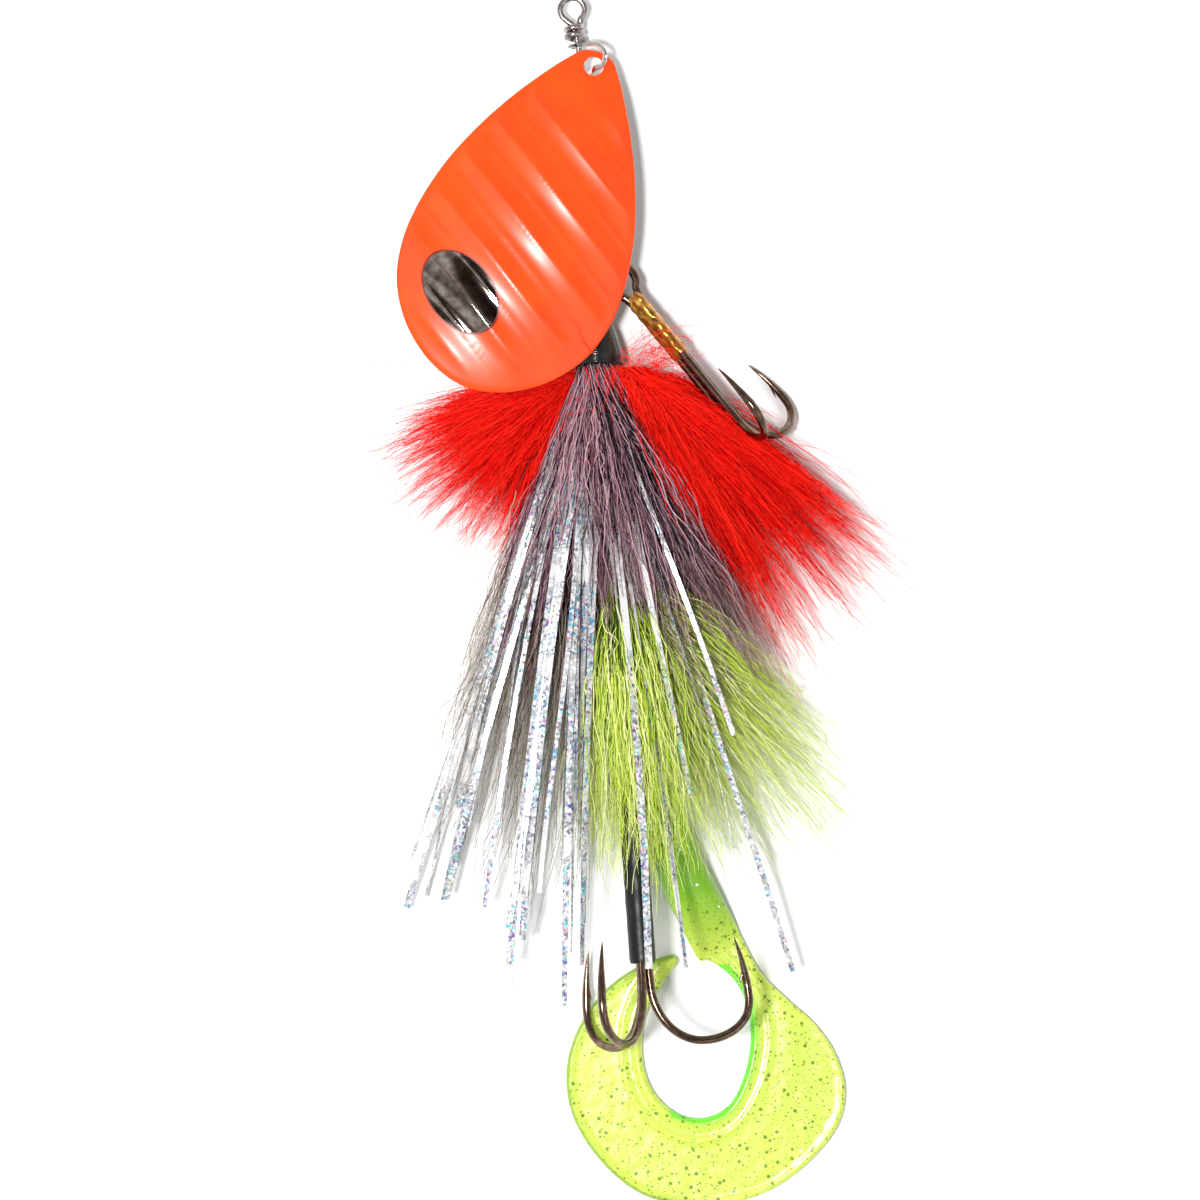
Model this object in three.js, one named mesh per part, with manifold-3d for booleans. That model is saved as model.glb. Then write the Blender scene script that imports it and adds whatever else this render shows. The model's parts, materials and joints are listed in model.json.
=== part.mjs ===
// Two-hook inline spinner for muskellunge and pike: fluted blade on a clevis, weighted wire shaft,
// side hook on a split ring, and a dressed rear wire with a tail hook and a soft curly-tail trailer.
//
// Millimetres. The lure lies on its side on a flat surface, z = 0. The shaft runs along -Y, line tie first.
// Places are written as (x, down, up): x across the lure, down along it from the middle of the line tie,
// and up from the surface.
import * as THREE from 'three';
import { mergeVertices } from 'three/addons/utils/BufferGeometryUtils.js';
import Module from 'manifold-3d';

const wasm = await Module();
wasm.setup();

// ---- driving dimensions ----
const GAP = 0.3; // between pieces that touch on the real lure
const WIRE_R = 0.65; // 1.3 mm stainless spinner wire
const BORE = WIRE_R + GAP; // radius of the hole through what runs on it
const WRAP_R = 1.45; // middle of a wire wrapped round its own shaft
const WRAP_PITCH = 1.4;
const WRAP_TURNS = 2;
const SHAFT_UP = 4.0;

const LINE_TIE_R = 2.45; // middle of the wire
const LOWER_LOOP_DOWN = 54.1;
const LOWER_LOOP_R = 3.05;

const REAR_PIVOT_DOWN = LOWER_LOOP_DOWN + LOWER_LOOP_R;
const REAR_RISE = THREE.MathUtils.degToRad(6.74); // the tail hook holds the rear wire up
const REAR_TOP_LOOP_DOWN = 58.0;
const REAR_TOP_LOOP_R = 2.6;
const REAR_END_LOOP_DOWN = 150.6;
const REAR_END_LOOP_R = 3.3;

const BLADE_LENGTH = 73;
const BLADE_THICK = 0.8;
const BLADE_CUP = 5.5;
const BLADE_TURN = THREE.MathUtils.degToRad(26); // long axis from the shaft, seen from above
const BLADE_PITCH = THREE.MathUtils.degToRad(5);
const BLADE_HOLE_R = 1.85;
const BLADE_HOLE_ALONG = 3.3;
const BLADE_TIP = [4.8, 9.1, 5.6];
const BLADE_DEEPEST = 42; // distance along the blade to the bottom of its cup

const CLEVIS_TOP = 7.4;
const CLEVIS_END = 14.4;
const CLEVIS_TILT = THREE.MathUtils.degToRad(40);

// A treble: wire radius, the eye's half width and height, length from the eye to the bend, reach from the
// shank, the bend's inner and outer depth, height and reach of the point, and the single hook's direction
const FRONT_TREBLE = {
  wire: 0.85, eyeAcross: 3.15, eyeAlong: 3.9, length: 44, reach: 15.3,
  bendIn: 9.5, bendOut: 5.5, pointRise: 15.5, pointReach: 0.87, single: 75.6,
};
const REAR_TREBLE = {
  wire: 0.85, eyeAcross: 3.0, eyeAlong: 3.6, length: 52.5, reach: 20.5,
  bendIn: 12, bendOut: 7, pointRise: 20, pointReach: 0.9, single: 114.5,
};
const FRONT_EYE = [5.5, 54.9, 6.9];
const FRONT_TURN = THREE.MathUtils.degToRad(34.7);
const FRONT_RISE = THREE.MathUtils.degToRad(7.5);
const REAR_EYE_DOWN = 155.6;

const RING_R = 3.1;
const RING_WIRE_R = 0.4;
const RING_CENTRE = [2.75, 53.75, 5.3];

const EYE_NECK = 2.6; // from a treble's eye to where its wires lie together

const KEEPER_EYE = [150.3, 11.45]; // down and up of its middle
const KEEPER_EYE_R = 1.65;
const KEEPER_WIRE_R = 0.4;
const TAIL_THICK = 2.2;

// ---- materials ----
function finish(color, roughness, metalness) {
  return new THREE.MeshStandardMaterial({ color, roughness, metalness });
}
const stainless = finish(0x8f8a86, 0.25, 1);
const nickel = finish(0xd9d4cc, 0.1, 1);
const brass = finish(0xc9a24a, 0.25, 1);
const bronze = finish(0x3a2f28, 0.22, 1);
const orangePaint = finish(0xff5510, 0.35, 0);
const redPlastic = finish(0xc01515, 0.2, 0);
const blackThread = finish(0x101010, 0.5, 0);
const blackRubber = finish(0x121412, 0.45, 0);
const redFeather = finish(0xe0181a, 0.9, 0);
const mauveHair = finish(0x7a5c6e, 0.8, 0);
const chartreuseHair = finish(0xbfd84a, 0.8, 0);
const silverFilm = finish(0xd0d4da, 0.15, 1);
const softPlastic = finish(0xc3dd2c, 0.3, 0);

// ---- helpers ----
const at = (x, down, up) => new THREE.Vector3(x, -down, up);

/** Deletes what only rendering needs, joins shared vertices, and turns every face outward. */
function closed(geometry) {
  geometry.deleteAttribute('normal');
  geometry.deleteAttribute('uv');
  const merged = mergeVertices(geometry, 1e-5);
  const index = merged.index.array;
  const position = merged.attributes.position;
  const corner = [0, 1, 2].map(() => new THREE.Vector3());
  let volume = 0;
  for (let i = 0; i < index.length; i += 3) {
    corner.forEach((v, k) => v.fromBufferAttribute(position, index[i + k]));
    volume += corner[0].dot(corner[1].clone().cross(corner[2]));
  }
  if (volume < 0) {
    for (let i = 0; i < index.length; i += 3) [index[i], index[i + 1]] = [index[i + 1], index[i]];
  }
  return merged;
}

function toManifold(geometry) {
  const solid = closed(geometry);
  return new wasm.Manifold(new wasm.Mesh({
    numProp: 3,
    vertProperties: Float32Array.from(solid.attributes.position.array),
    triVerts: Uint32Array.from(solid.index.array),
  }));
}

function fromManifold(solid) {
  const mesh = solid.getMesh();
  const geometry = new THREE.BufferGeometry();
  geometry.setAttribute('position', new THREE.BufferAttribute(mesh.vertProperties, 3));
  geometry.setIndex(new THREE.BufferAttribute(mesh.triVerts, 1));
  return geometry;
}

function piece(name, geometry, material) {
  const mesh = new THREE.Mesh(closed(geometry), material);
  mesh.name = name;
  return mesh;
}

const round = (sides) => Array.from({ length: sides }, (_, k) => {
  const angle = (2 * Math.PI * k) / sides;
  return [Math.cos(angle), Math.sin(angle)];
});
const STRAP = [[1, 1], [-1, 1], [-1, -1], [1, -1]];

/**
 * A solid swept through points: section corners are scaled by size(t) = [half width, half height].
 * up keeps the sections level, and along gives them all one facing.
 */
function sweep(points, section, size, up = null, along = null) {
  const last = points.length - 1;
  const positions = [];
  const index = [];
  let across = null;
  points.forEach((centre, i) => {
    const chord = points[Math.min(i + 1, last)].clone().sub(points[Math.max(i - 1, 0)]);
    const tangent = (along ?? chord).clone().normalize();
    if (up) across = tangent.clone().cross(up).normalize();
    else {
      across ??= Math.abs(tangent.z) < 0.9 ? new THREE.Vector3(0, 0, 1) : new THREE.Vector3(1, 0, 0);
      across = across.clone().addScaledVector(tangent, -across.dot(tangent)).normalize();
    }
    const over = across.clone().cross(tangent);
    const [wide, high] = size(i / last);
    for (const [a, b] of section) {
      const p = centre.clone().addScaledVector(across, a * wide).addScaledVector(over, b * high);
      positions.push(p.x, p.y, p.z);
    }
  });
  const n = section.length;
  for (let i = 0; i < last; i++) {
    for (let k = 0; k < n; k++) {
      const next = (k + 1) % n;
      const [a, b, c, d] = [i * n + k, i * n + next, (i + 1) * n + next, (i + 1) * n + k];
      index.push(a, b, c, a, c, d);
    }
  }
  for (let k = 1; k < n - 1; k++) {
    index.push(0, k + 1, k);
    index.push(last * n, last * n + k, last * n + k + 1);
  }
  const geometry = new THREE.BufferGeometry();
  geometry.setAttribute('position', new THREE.Float32BufferAttribute(positions, 3));
  geometry.setIndex(index);
  return geometry;
}

const wire = (points, radius, sides = 8) => sweep(points, round(sides), () => [radius, radius]);
const curve = (points) => new THREE.CatmullRomCurve3(points, false, 'centripetal');
const smooth = (points, count) => curve(points).getSpacedPoints(count);

/** A soft bundle: stations are [x, down, up, half width, half height], joined by smooth curves. */
function bundle(stations, steps = 12, sides = 14, along = null) {
  const centres = new THREE.CatmullRomCurve3(stations.map(([x, down, up]) => at(x, down, up)));
  const sizes = new THREE.CatmullRomCurve3(stations.map((s) => new THREE.Vector3(s[3], s[4], 0)));
  const points = centres.getPoints(steps);
  return sweep(points, round(sides), (t) => {
    const size = sizes.getPoint(t);
    return [size.x, size.y];
  }, new THREE.Vector3(0, 0, 1), along);
}

/** A turned solid round the Y axis: profile is a list of [radius, down]. */
function turned(profile, segments = 18) {
  return new THREE.LatheGeometry(profile.map(([r, down]) => new THREE.Vector2(r, -down)), segments);
}

/** A turned sleeve: [outer radius, down] from end to end, round a bore given the same way. */
function sleeve(outside, bore, segments = 16) {
  return turned([...outside, ...bore.slice().reverse(), outside[0]], segments);
}

/** The points of a closed wire loop and its wraps. way is 1 at the wire's top end and -1 at its lower end. */
function loopEnd(middle, radius, way) {
  const neckAngle = 0.65;
  const loopSteps = 16;
  const turnSteps = 12;
  const wrapStart = middle + way * (radius + 0.8);
  const path = [];
  for (let k = 0; k <= loopSteps; k++) {
    const angle = neckAngle + (2 * (Math.PI - neckAngle) * k) / loopSteps;
    path.push(at(-radius * Math.sin(angle), middle + way * radius * Math.cos(angle), 0));
  }
  for (let k = 0; k <= WRAP_TURNS * turnSteps; k++) {
    const angle = (2 * Math.PI * k) / turnSteps;
    const down = wrapStart + (way * WRAP_PITCH * k) / turnSteps;
    path.push(at(WRAP_R * Math.cos(angle), down, WRAP_R * Math.sin(angle)));
  }
  return path;
}

/** A spinner wire with a wrapped loop at each end, lying along the axis. */
function loopedWire(top, topR, end, endR) {
  const upper = loopEnd(top, topR, 1).reverse();
  const lower = loopEnd(end, endR, -1);
  const joint = 1.2; // from a loop to the straight wire
  const straight = [at(0, top + topR + joint, 0), at(0, end - endR - joint, 0)];
  return wire([...upper, ...straight, ...lower], WIRE_R);
}

// ---- shaft and what runs on it ----
const shaftWire = () => loopedWire(0, LINE_TIE_R, LOWER_LOOP_DOWN, LOWER_LOOP_R);

/** The folded clevis: a narrow bow whose two ends are eyes that turn on the shaft. */
function clevis() {
  const bow = smooth([
    at(1.3, CLEVIS_TOP, 0), at(3.4, 7.2, 0), at(6.0, 7.8, 0), at(7.6, 9.6, 0), at(6.8, 11.8, 0),
    at(4.5, 12.4, 0), at(2.6, 13.8, 0), at(1.3, CLEVIS_END, 0),
  ], 22);
  let solid = toManifold(sweep(bow, STRAP, () => [0.55, 0.28]));
  const shaftHole = toManifold(new THREE.CylinderGeometry(BORE, BORE, 20, 14).translate(0, -10, 0));
  for (const down of [CLEVIS_TOP, CLEVIS_END]) {
    solid = solid.add(toManifold(new THREE.CylinderGeometry(1.9, 1.9, 0.7, 18).translate(0, -down, 0)));
  }
  return fromManifold(solid.subtract(shaftHole)).rotateY(-CLEVIS_TILT);
}

/** Half the blade's width at a distance along it. */
const bladeHalfWidth = new THREE.CatmullRomCurve3([
  [0, 0], [0.8, 3.0], [4, 5.8], [9, 9.2], [15, 12.8], [23, 16.8], [32, 20.2], [42, 22.3],
  [50, 22.5], [58, 20.6], [65, 16], [70, 9.8], [72.4, 4], [BLADE_LENGTH, 0],
].map(([along, half]) => new THREE.Vector3(half, -along, 0)));

/** Height of the blade's middle surface over its rim plane: a shallow cup. */
function bladeCup(across, along) {
  const [towardTip, towardEnd, toSide] = [44, 33, 24];
  const reach = along < BLADE_DEEPEST ? towardTip : towardEnd;
  return BLADE_CUP * (1 - ((along - BLADE_DEEPEST) / reach) ** 2 - (across / toSide) ** 2);
}

function blade() {
  const half = bladeHalfWidth.getSpacedPoints(20);
  const outline = [...half, ...half.slice(1, -1).reverse().map((p) => new THREE.Vector3(-p.x, p.y, 0))];
  const hole = at(0, BLADE_HOLE_ALONG, 0);
  const rings = 7;
  const crowding = 1.3; // draws the rings towards the hole
  const count = outline.length;
  const positions = [];
  for (const side of [1, -1]) {
    for (let j = 0; j <= rings; j++) {
      for (const rim of outline) {
        const edge = rim.clone().sub(hole).setLength(BLADE_HOLE_R).add(hole);
        const p = edge.lerp(rim, (j / rings) ** crowding);
        positions.push(p.x, p.y, bladeCup(p.x, -p.y) + (side * BLADE_THICK) / 2);
      }
    }
  }
  const vertex = (side, j, k) => (side * (rings + 1) + j) * count + (k % count);
  const index = [];
  const quad = (a, b, c, d) => index.push(a, b, c, a, c, d);
  for (let k = 0; k < count; k++) {
    for (let j = 0; j < rings; j++) {
      quad(vertex(0, j, k), vertex(0, j, k + 1), vertex(0, j + 1, k + 1), vertex(0, j + 1, k));
      quad(vertex(1, j, k), vertex(1, j + 1, k), vertex(1, j + 1, k + 1), vertex(1, j, k + 1));
    }
    quad(vertex(0, 0, k), vertex(1, 0, k), vertex(1, 0, k + 1), vertex(0, 0, k + 1));
    quad(vertex(0, rings, k), vertex(0, rings, k + 1), vertex(1, rings, k + 1), vertex(1, rings, k));
  }
  const geometry = new THREE.BufferGeometry();
  geometry.setAttribute('position', new THREE.Float32BufferAttribute(positions, 3));
  geometry.setIndex(index);
  return geometry;
}

/** A round bead between two places on the shaft. */
function bead(radius, from, to) {
  const middle = (from + to) / 2;
  const endAngle = Math.asin((BORE + 0.3) / radius);
  const stretch = (to - from) / (2 * Math.cos(endAngle));
  const outside = [];
  for (let k = 0; k <= 6; k++) {
    const angle = endAngle + ((Math.PI - 2 * endAngle) * k) / 6;
    outside.push([radius * Math.sin(angle), middle - stretch * Math.cos(angle)]);
  }
  return sleeve(outside, [[BORE, from], [BORE, to]]);
}

const weightBody = () => sleeve(
  [[1.6, 19.2], [2.6, 20.6], [3.3, 23.5], [3.4, 28], [3.0, 33], [2.1, 37], [1.5, 38.4]],
  [[BORE, 19.2], [BORE, 38.4]],
);

/** The split ring: nearly two turns of spring wire, standing on edge between the loop and the hook's eye. */
function splitRing() {
  const turns = 1.75;
  const pitch = 0.85;
  const steps = 40;
  const points = [];
  for (let k = 0; k <= steps; k++) {
    const angle = (2 * Math.PI * turns * k) / steps;
    const side = pitch * (k / steps - 0.5) * turns;
    points.push(new THREE.Vector3(RING_R * Math.cos(angle), side, RING_R * Math.sin(angle)));
  }
  return wire(points, RING_WIRE_R, 6);
}

// ---- trebles: shank along -Y from the middle of the eye, z up ----
const direction = (degrees) => {
  const angle = THREE.MathUtils.degToRad(degrees);
  return new THREE.Vector3(Math.cos(angle), 0, Math.sin(angle));
};

/** Distance of each of the three shank wires from the shank's middle. */
const shankSpread = (treble) => (2 * treble.wire + GAP) / Math.sqrt(3);

/** The points of one hook, from the shank to its tip, bent out along a direction. */
function hookPath(treble, way) {
  const near = shankSpread(treble);
  const low = treble.reach * 0.55;
  const place = (reach, down) => way.clone().multiplyScalar(reach).add(at(0, down, 0));
  const points = [];
  for (let k = 0; k <= 6; k++) {
    const angle = (Math.PI / 2) * (k / 6);
    points.push(place(low - (low - near) * Math.cos(angle),
      treble.length - treble.bendIn * (1 - Math.sin(angle))));
  }
  for (let k = 1; k <= 4; k++) {
    const angle = (Math.PI / 2) * (k / 4);
    points.push(place(low + (treble.reach - low) * Math.sin(angle),
      treble.length - treble.bendOut * (1 - Math.cos(angle))));
  }
  const rise = treble.pointRise - treble.bendOut;
  for (const k of [0.35, 0.7, 1]) {
    points.push(place(treble.reach * (1 - (1 - treble.pointReach) * k * k),
      treble.length - treble.bendOut - rise * k));
  }
  return points;
}

/** Radius along a hook wire: full, then drawn down to the point over the last stretch. */
function pointed(treble, points, bothEnds) {
  const taper = 3; // points in the taper
  const sharp = 0.12;
  const last = points.length - 1;
  return (t) => {
    const i = Math.round(t * last);
    const left = Math.min(last - i, bothEnds ? i : last);
    const radius = treble.wire * (left >= taper ? 1 : sharp + ((1 - sharp) * left) / taper);
    return [radius, radius];
  };
}

/** The treble's first wire: two of the hooks and the eye between them. */
function trebleDouble(treble) {
  const spread = shankSpread(treble);
  const right = direction(treble.single - 90);
  const away = direction(treble.single).multiplyScalar(-spread / 2);
  const place = (across, down) => right.clone().multiplyScalar(across).add(away).add(at(0, down, 0));
  const shank = direction(treble.single - 120).multiplyScalar(spread).dot(right);
  const neckDown = treble.eyeAlong + EYE_NECK;
  const eye = [place(shank, neckDown)];
  const [openAt, turn, steps] = [-58, 296, 14];
  for (let k = 0; k <= steps; k++) {
    const angle = THREE.MathUtils.degToRad(openAt + (turn * k) / steps);
    eye.push(place(treble.eyeAcross * Math.cos(angle), -treble.eyeAlong * Math.sin(angle)));
  }
  eye.push(place(-shank, neckDown));
  const one = hookPath(treble, direction(treble.single - 120)).reverse();
  const other = hookPath(treble, direction(treble.single + 120));
  const points = [...one, ...eye, ...other];
  return sweep(points, round(8), pointed(treble, points, true));
}

/** The treble's second wire: the single hook brazed along the other two. */
function trebleSingle(treble) {
  const way = direction(treble.single);
  const top = way.clone().multiplyScalar(shankSpread(treble)).add(at(0, treble.eyeAlong + EYE_NECK, 0));
  const points = [top, ...hookPath(treble, way)];
  return sweep(points, round(8), pointed(treble, points, false));
}

// ---- rear wire and its dressing, in the rear wire's own frame: down from the pivot, up from the wire ----
const behind = (down) => down - REAR_PIVOT_DOWN;
const onRear = (stations) => stations.map(([x, down, ...rest]) => [x, behind(down), ...rest]);

/** Both of its loops stand on edge. */
const rearWire = () => loopedWire(
  behind(REAR_TOP_LOOP_DOWN), REAR_TOP_LOOP_R, behind(REAR_END_LOOP_DOWN), REAR_END_LOOP_R,
).rotateY(Math.PI / 2);

const onCore = (profile) => profile.map(([r, down]) => [r, behind(down)]);

/** Clears the rear wire, its wrapped ends, the hook's eye and the tube over its shank. */
const clearOfRearWire = () => turned(onCore([
  [0, 64], [3.0, 64.1], [3.0, 68.5], [1.2, 69.5], [1.2, 142], [4.6, 145], [5.8, 147.5], [5.8, 154],
  [4.6, 157], [4.6, 161], [3.2, 164], [3.2, 200], [0, 200.1],
]));

const threadHead = () => sleeve(
  onCore([[2.9, 61.3], [3.2, 63], [4.3, 67], [5.0, 70.5], [4.9, 72]]),
  onCore([[2.4, 61.3], [2.4, 66.2], [1.0, 67.2], [1.0, 72]]),
);
const threadBand = () => sleeve(
  onCore([[1.6, 111], [2.2, 112], [2.3, 114.4], [1.8, 115.4]]),
  onCore([[1.0, 111], [1.0, 115.4]]),
);
const shrinkTube = () => sleeve(
  onCore([[2.55, 164.5], [2.6, 180], [2.65, 192]]),
  onCore([[2.3, 164.5], [2.3, 192]]),
);

/** A skirt of hair tied round the rear wire, its sections square to the wire. */
const skirt = (stations) => bundle(onRear(stations), 12, 14, at(0, 1, 0));

function dressed(stations, hollow = null) {
  let solid = toManifold(skirt(stations)).subtract(toManifold(clearOfRearWire()));
  if (hollow) solid = solid.subtract(toManifold(skirt(hollow)));
  return fromManifold(solid);
}

const marabouLeft = () => bundle(onRear([
  [-8.5, 79.5, -2.2, 2.5, 2.0], [-16, 85, -2.6, 8, 3.0], [-26, 92, -3.2, 14, 3.2], [-36, 99, -4.2, 10, 2.0],
]));
const marabouRight = () => bundle(onRear([
  [7.6, 77, 3.6, 1.1, 1.4], [9.2, 85.5, 5.6, 0.7, 1.2], [11.3, 93, 6.4, 0.9, 1.4], [19, 104.5, 6.2, 3.6, 2.2],
  [33, 113, 2.6, 10, 3.4], [47.3, 122, -3.0, 7.3, 2.0],
]));
const MAUVE_STATIONS = [
  [0, 72.4, 0, 4.6, 2.4], [-0.5, 90, 0.6, 8.6, 4.0], [-2, 110, 0.8, 13.5, 5.4], [-4, 130, 0.6, 19, 6.8],
  [-5.4, 143.5, 0.2, 22.5, 7.4],
];
const CHARTREUSE_STATIONS = [
  [0, 115.8, 0.2, 1.9, 1.9], [0.5, 128, 0.4, 8.5, 3.6], [2, 140, 0.2, 14, 4.6], [9, 152, 0, 19, 5.2],
  [15, 171, -1.5, 24, 4.6],
];
const MAUVE_HOLLOW = [
  [0, 109.5, 0.2, 3.0, 2.9], [0, 116, 0.2, 3.6, 3.2], [0.5, 128, 0.4, 9.6, 4.5], [2, 140, 0.2, 15.2, 5.5],
  [9, 152.4, 0, 20.6, 6.1],
];
const bucktailMauve = () => dressed(MAUVE_STATIONS, MAUVE_HOLLOW);
const bucktailChartreuse = () => dressed(CHARTREUSE_STATIONS);
const flashSkirt = () => skirt([
  [-1, 75, 3.9, 3.0, 0.5], [-2, 100, 6.8, 9, 0.5], [-4.5, 130, 8.9, 17, 0.5], [-8, 160, 9.4, 26, 0.5],
  [-8, 187, 9.0, 31, 0.5],
]);

// ---- trailer ----
/** The keeper: an eye on the rear loop and a pin into the trailer's nose. */
function grubKeeper() {
  const [down, up] = KEEPER_EYE;
  const eye = [];
  const [openAt, turn, steps] = [-50, 300, 12];
  for (let k = 0; k <= steps; k++) {
    const angle = THREE.MathUtils.degToRad(openAt + (turn * k) / steps);
    eye.push(at(KEEPER_EYE_R * Math.cos(angle), down, up + KEEPER_EYE_R * Math.sin(angle)));
  }
  const pin = smooth([
    eye.at(-1), at(-0.2, down, 8.6), at(-0.4, down, 6.8), at(-0.1, 151.7, 5.5), at(0.8, 153.8, 5.3),
    at(2.8, 157.4, 5.3),
  ], 12);
  return wire([...eye, ...pin.slice(1)], KEEPER_WIRE_R, 6);
}

const GRUB_STATIONS = [
  [0.1, 152.2, 5.3, 2.2, 2.2], [0.9, 153.8, 5.3, 4.4, 4.4], [2.8, 158, 5.3, 5.2, 5.2],
  [6, 166, 5.3, 5.2, 5.2], [9, 174.5, 5.0, 5.1, 4.8], [12.4, 182.5, 3.6, 5.1, 3.4],
  [15.2, 189.4, 1.4, 5.1, 1.2],
];

function grubBody() {
  const pinHole = wire(smooth([
    at(-0.8, 150.4, 5.7), at(-0.1, 151.7, 5.5), at(0.8, 153.8, 5.3), at(3.2, 158.1, 5.3),
  ], 8), KEEPER_WIRE_R + GAP + 0.05, 10);
  return fromManifold(toManifold(bundle(GRUB_STATIONS, 16, 16)).subtract(toManifold(pinHole)));
}

/** The curly tail: a flat hook of soft plastic, wide at its outer turn and thin at its tip. */
function grubTail() {
  const outer = [
    [20.15, 188.1], [23.8, 196.2], [28.8, 202], [33.8, 207.2], [37.4, 213.2], [39, 220.4], [37.4, 227.4],
    [31, 234.8], [21.4, 240.6], [8.6, 242.6], [-3.8, 239], [-12.2, 230.8], [-16.8, 221], [-16.8, 211.6],
    [-13.4, 203.6], [-7.4, 196.8], [0, 192.6], [6.4, 191],
  ];
  const inner = [
    [7.4, 192.6], [3.8, 197], [0, 203], [-1.3, 210.6], [0.2, 218], [4.6, 223], [9.8, 224.4], [15, 222.4],
    [18.8, 216.2], [20.6, 208], [20, 201.6], [17.6, 196.6], [14, 193.4], [10.8, 191.95],
  ];
  const shape = new THREE.Shape();
  shape.setFromPoints([
    ...new THREE.SplineCurve(outer.map(([x, down]) => new THREE.Vector2(x, -down))).getPoints(34),
    ...new THREE.SplineCurve(inner.map(([x, down]) => new THREE.Vector2(x, -down))).getPoints(26),
  ]);
  return new THREE.ExtrudeGeometry(shape, { depth: TAIL_THICK, bevelEnabled: false });
}

// ---- assembly ----
const lure = new THREE.Group();

const onShaft = new THREE.Group();
onShaft.position.z = SHAFT_UP;
onShaft.add(piece('shaft_wire', shaftWire(), stainless));
onShaft.add(piece('clevis', clevis(), nickel));
onShaft.add(piece('bearing_bead', bead(1.9, 15.1, 18.8), brass));
onShaft.add(piece('weight_body', weightBody(), nickel));
onShaft.add(piece('red_bead', bead(2.9, 38.8, 44.0), redPlastic));
onShaft.add(piece('stop_bead', bead(1.7, 44.3, 46.4), brass));
lure.add(onShaft);

const bladeMesh = piece('blade', blade(), orangePaint);
bladeMesh.rotation.set(-BLADE_PITCH, 0, -BLADE_TURN, 'ZYX');
bladeMesh.position.copy(at(...BLADE_TIP));
lure.add(bladeMesh);

const ring = piece('split_ring', splitRing(), stainless);
ring.position.copy(at(...RING_CENTRE));
ring.rotation.z = -Math.atan2(1.0, 5.7);
lure.add(ring);

const frontTreble = new THREE.Group();
frontTreble.position.copy(at(...FRONT_EYE));
frontTreble.rotation.set(-FRONT_RISE, 0, FRONT_TURN, 'ZYX');
frontTreble.add(piece('front_treble_double', trebleDouble(FRONT_TREBLE), bronze));
frontTreble.add(piece('front_treble_single', trebleSingle(FRONT_TREBLE), bronze));
lure.add(frontTreble);

const rear = new THREE.Group();
rear.position.copy(at(0, REAR_PIVOT_DOWN, SHAFT_UP));
rear.rotation.x = -REAR_RISE;
rear.add(piece('rear_wire', rearWire(), stainless));
rear.add(piece('thread_head', threadHead(), blackThread));
rear.add(piece('marabou_left', marabouLeft(), redFeather));
rear.add(piece('marabou_right', marabouRight(), redFeather));
rear.add(piece('bucktail_mauve', bucktailMauve(), mauveHair));
rear.add(piece('thread_band', threadBand(), blackThread));
rear.add(piece('bucktail_chartreuse', bucktailChartreuse(), chartreuseHair));
rear.add(piece('flash_skirt', flashSkirt(), silverFilm));
rear.add(piece('shrink_tube', shrinkTube(), blackRubber));
const rearTreble = new THREE.Group();
rearTreble.position.copy(at(0, behind(REAR_EYE_DOWN), 0));
rearTreble.add(piece('rear_treble_double', trebleDouble(REAR_TREBLE), bronze));
rearTreble.add(piece('rear_treble_single', trebleSingle(REAR_TREBLE), bronze));
rear.add(rearTreble);
lure.add(rear);

lure.add(piece('grub_keeper', grubKeeper(), stainless));
lure.add(piece('grub_body', grubBody(), softPlastic));
lure.add(piece('grub_tail', grubTail(), softPlastic));

// The origin is the middle of the lure's box, on the surface that it lies on.
const part = new THREE.Group();
part.add(lure);
const box = new THREE.Box3().setFromObject(lure, true);
const middle = box.getCenter(new THREE.Vector3());
lure.position.set(-middle.x, -middle.y, -box.min.z);

export default part;
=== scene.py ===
"""Looks of the inline spinner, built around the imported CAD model.

Places are (x, down, up) in millimetres: x across from the shaft, down along the lure from the middle of the
line tie, and up from the table. place() turns them into the frame's metres.
"""
import json
import math

import bpy
import numpy as np
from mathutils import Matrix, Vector


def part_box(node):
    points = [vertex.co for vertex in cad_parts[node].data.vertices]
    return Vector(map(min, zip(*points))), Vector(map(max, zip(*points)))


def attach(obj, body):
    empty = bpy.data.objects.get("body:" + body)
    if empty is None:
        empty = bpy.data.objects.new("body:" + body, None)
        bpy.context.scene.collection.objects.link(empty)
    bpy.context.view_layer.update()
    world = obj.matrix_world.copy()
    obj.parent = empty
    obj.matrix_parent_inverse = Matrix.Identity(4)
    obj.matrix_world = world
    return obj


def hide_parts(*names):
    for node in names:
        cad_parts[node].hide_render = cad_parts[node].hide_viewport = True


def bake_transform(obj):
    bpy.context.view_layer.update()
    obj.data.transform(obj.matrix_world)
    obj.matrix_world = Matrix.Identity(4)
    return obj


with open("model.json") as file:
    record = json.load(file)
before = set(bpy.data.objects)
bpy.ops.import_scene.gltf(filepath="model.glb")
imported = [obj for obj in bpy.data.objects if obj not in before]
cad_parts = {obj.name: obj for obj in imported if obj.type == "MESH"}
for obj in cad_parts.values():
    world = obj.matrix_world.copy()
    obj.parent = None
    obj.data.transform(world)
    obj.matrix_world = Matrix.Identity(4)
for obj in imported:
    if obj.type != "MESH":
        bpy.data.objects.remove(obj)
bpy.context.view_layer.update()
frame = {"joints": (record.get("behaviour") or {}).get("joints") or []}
rng = np.random.default_rng(41)

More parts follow.
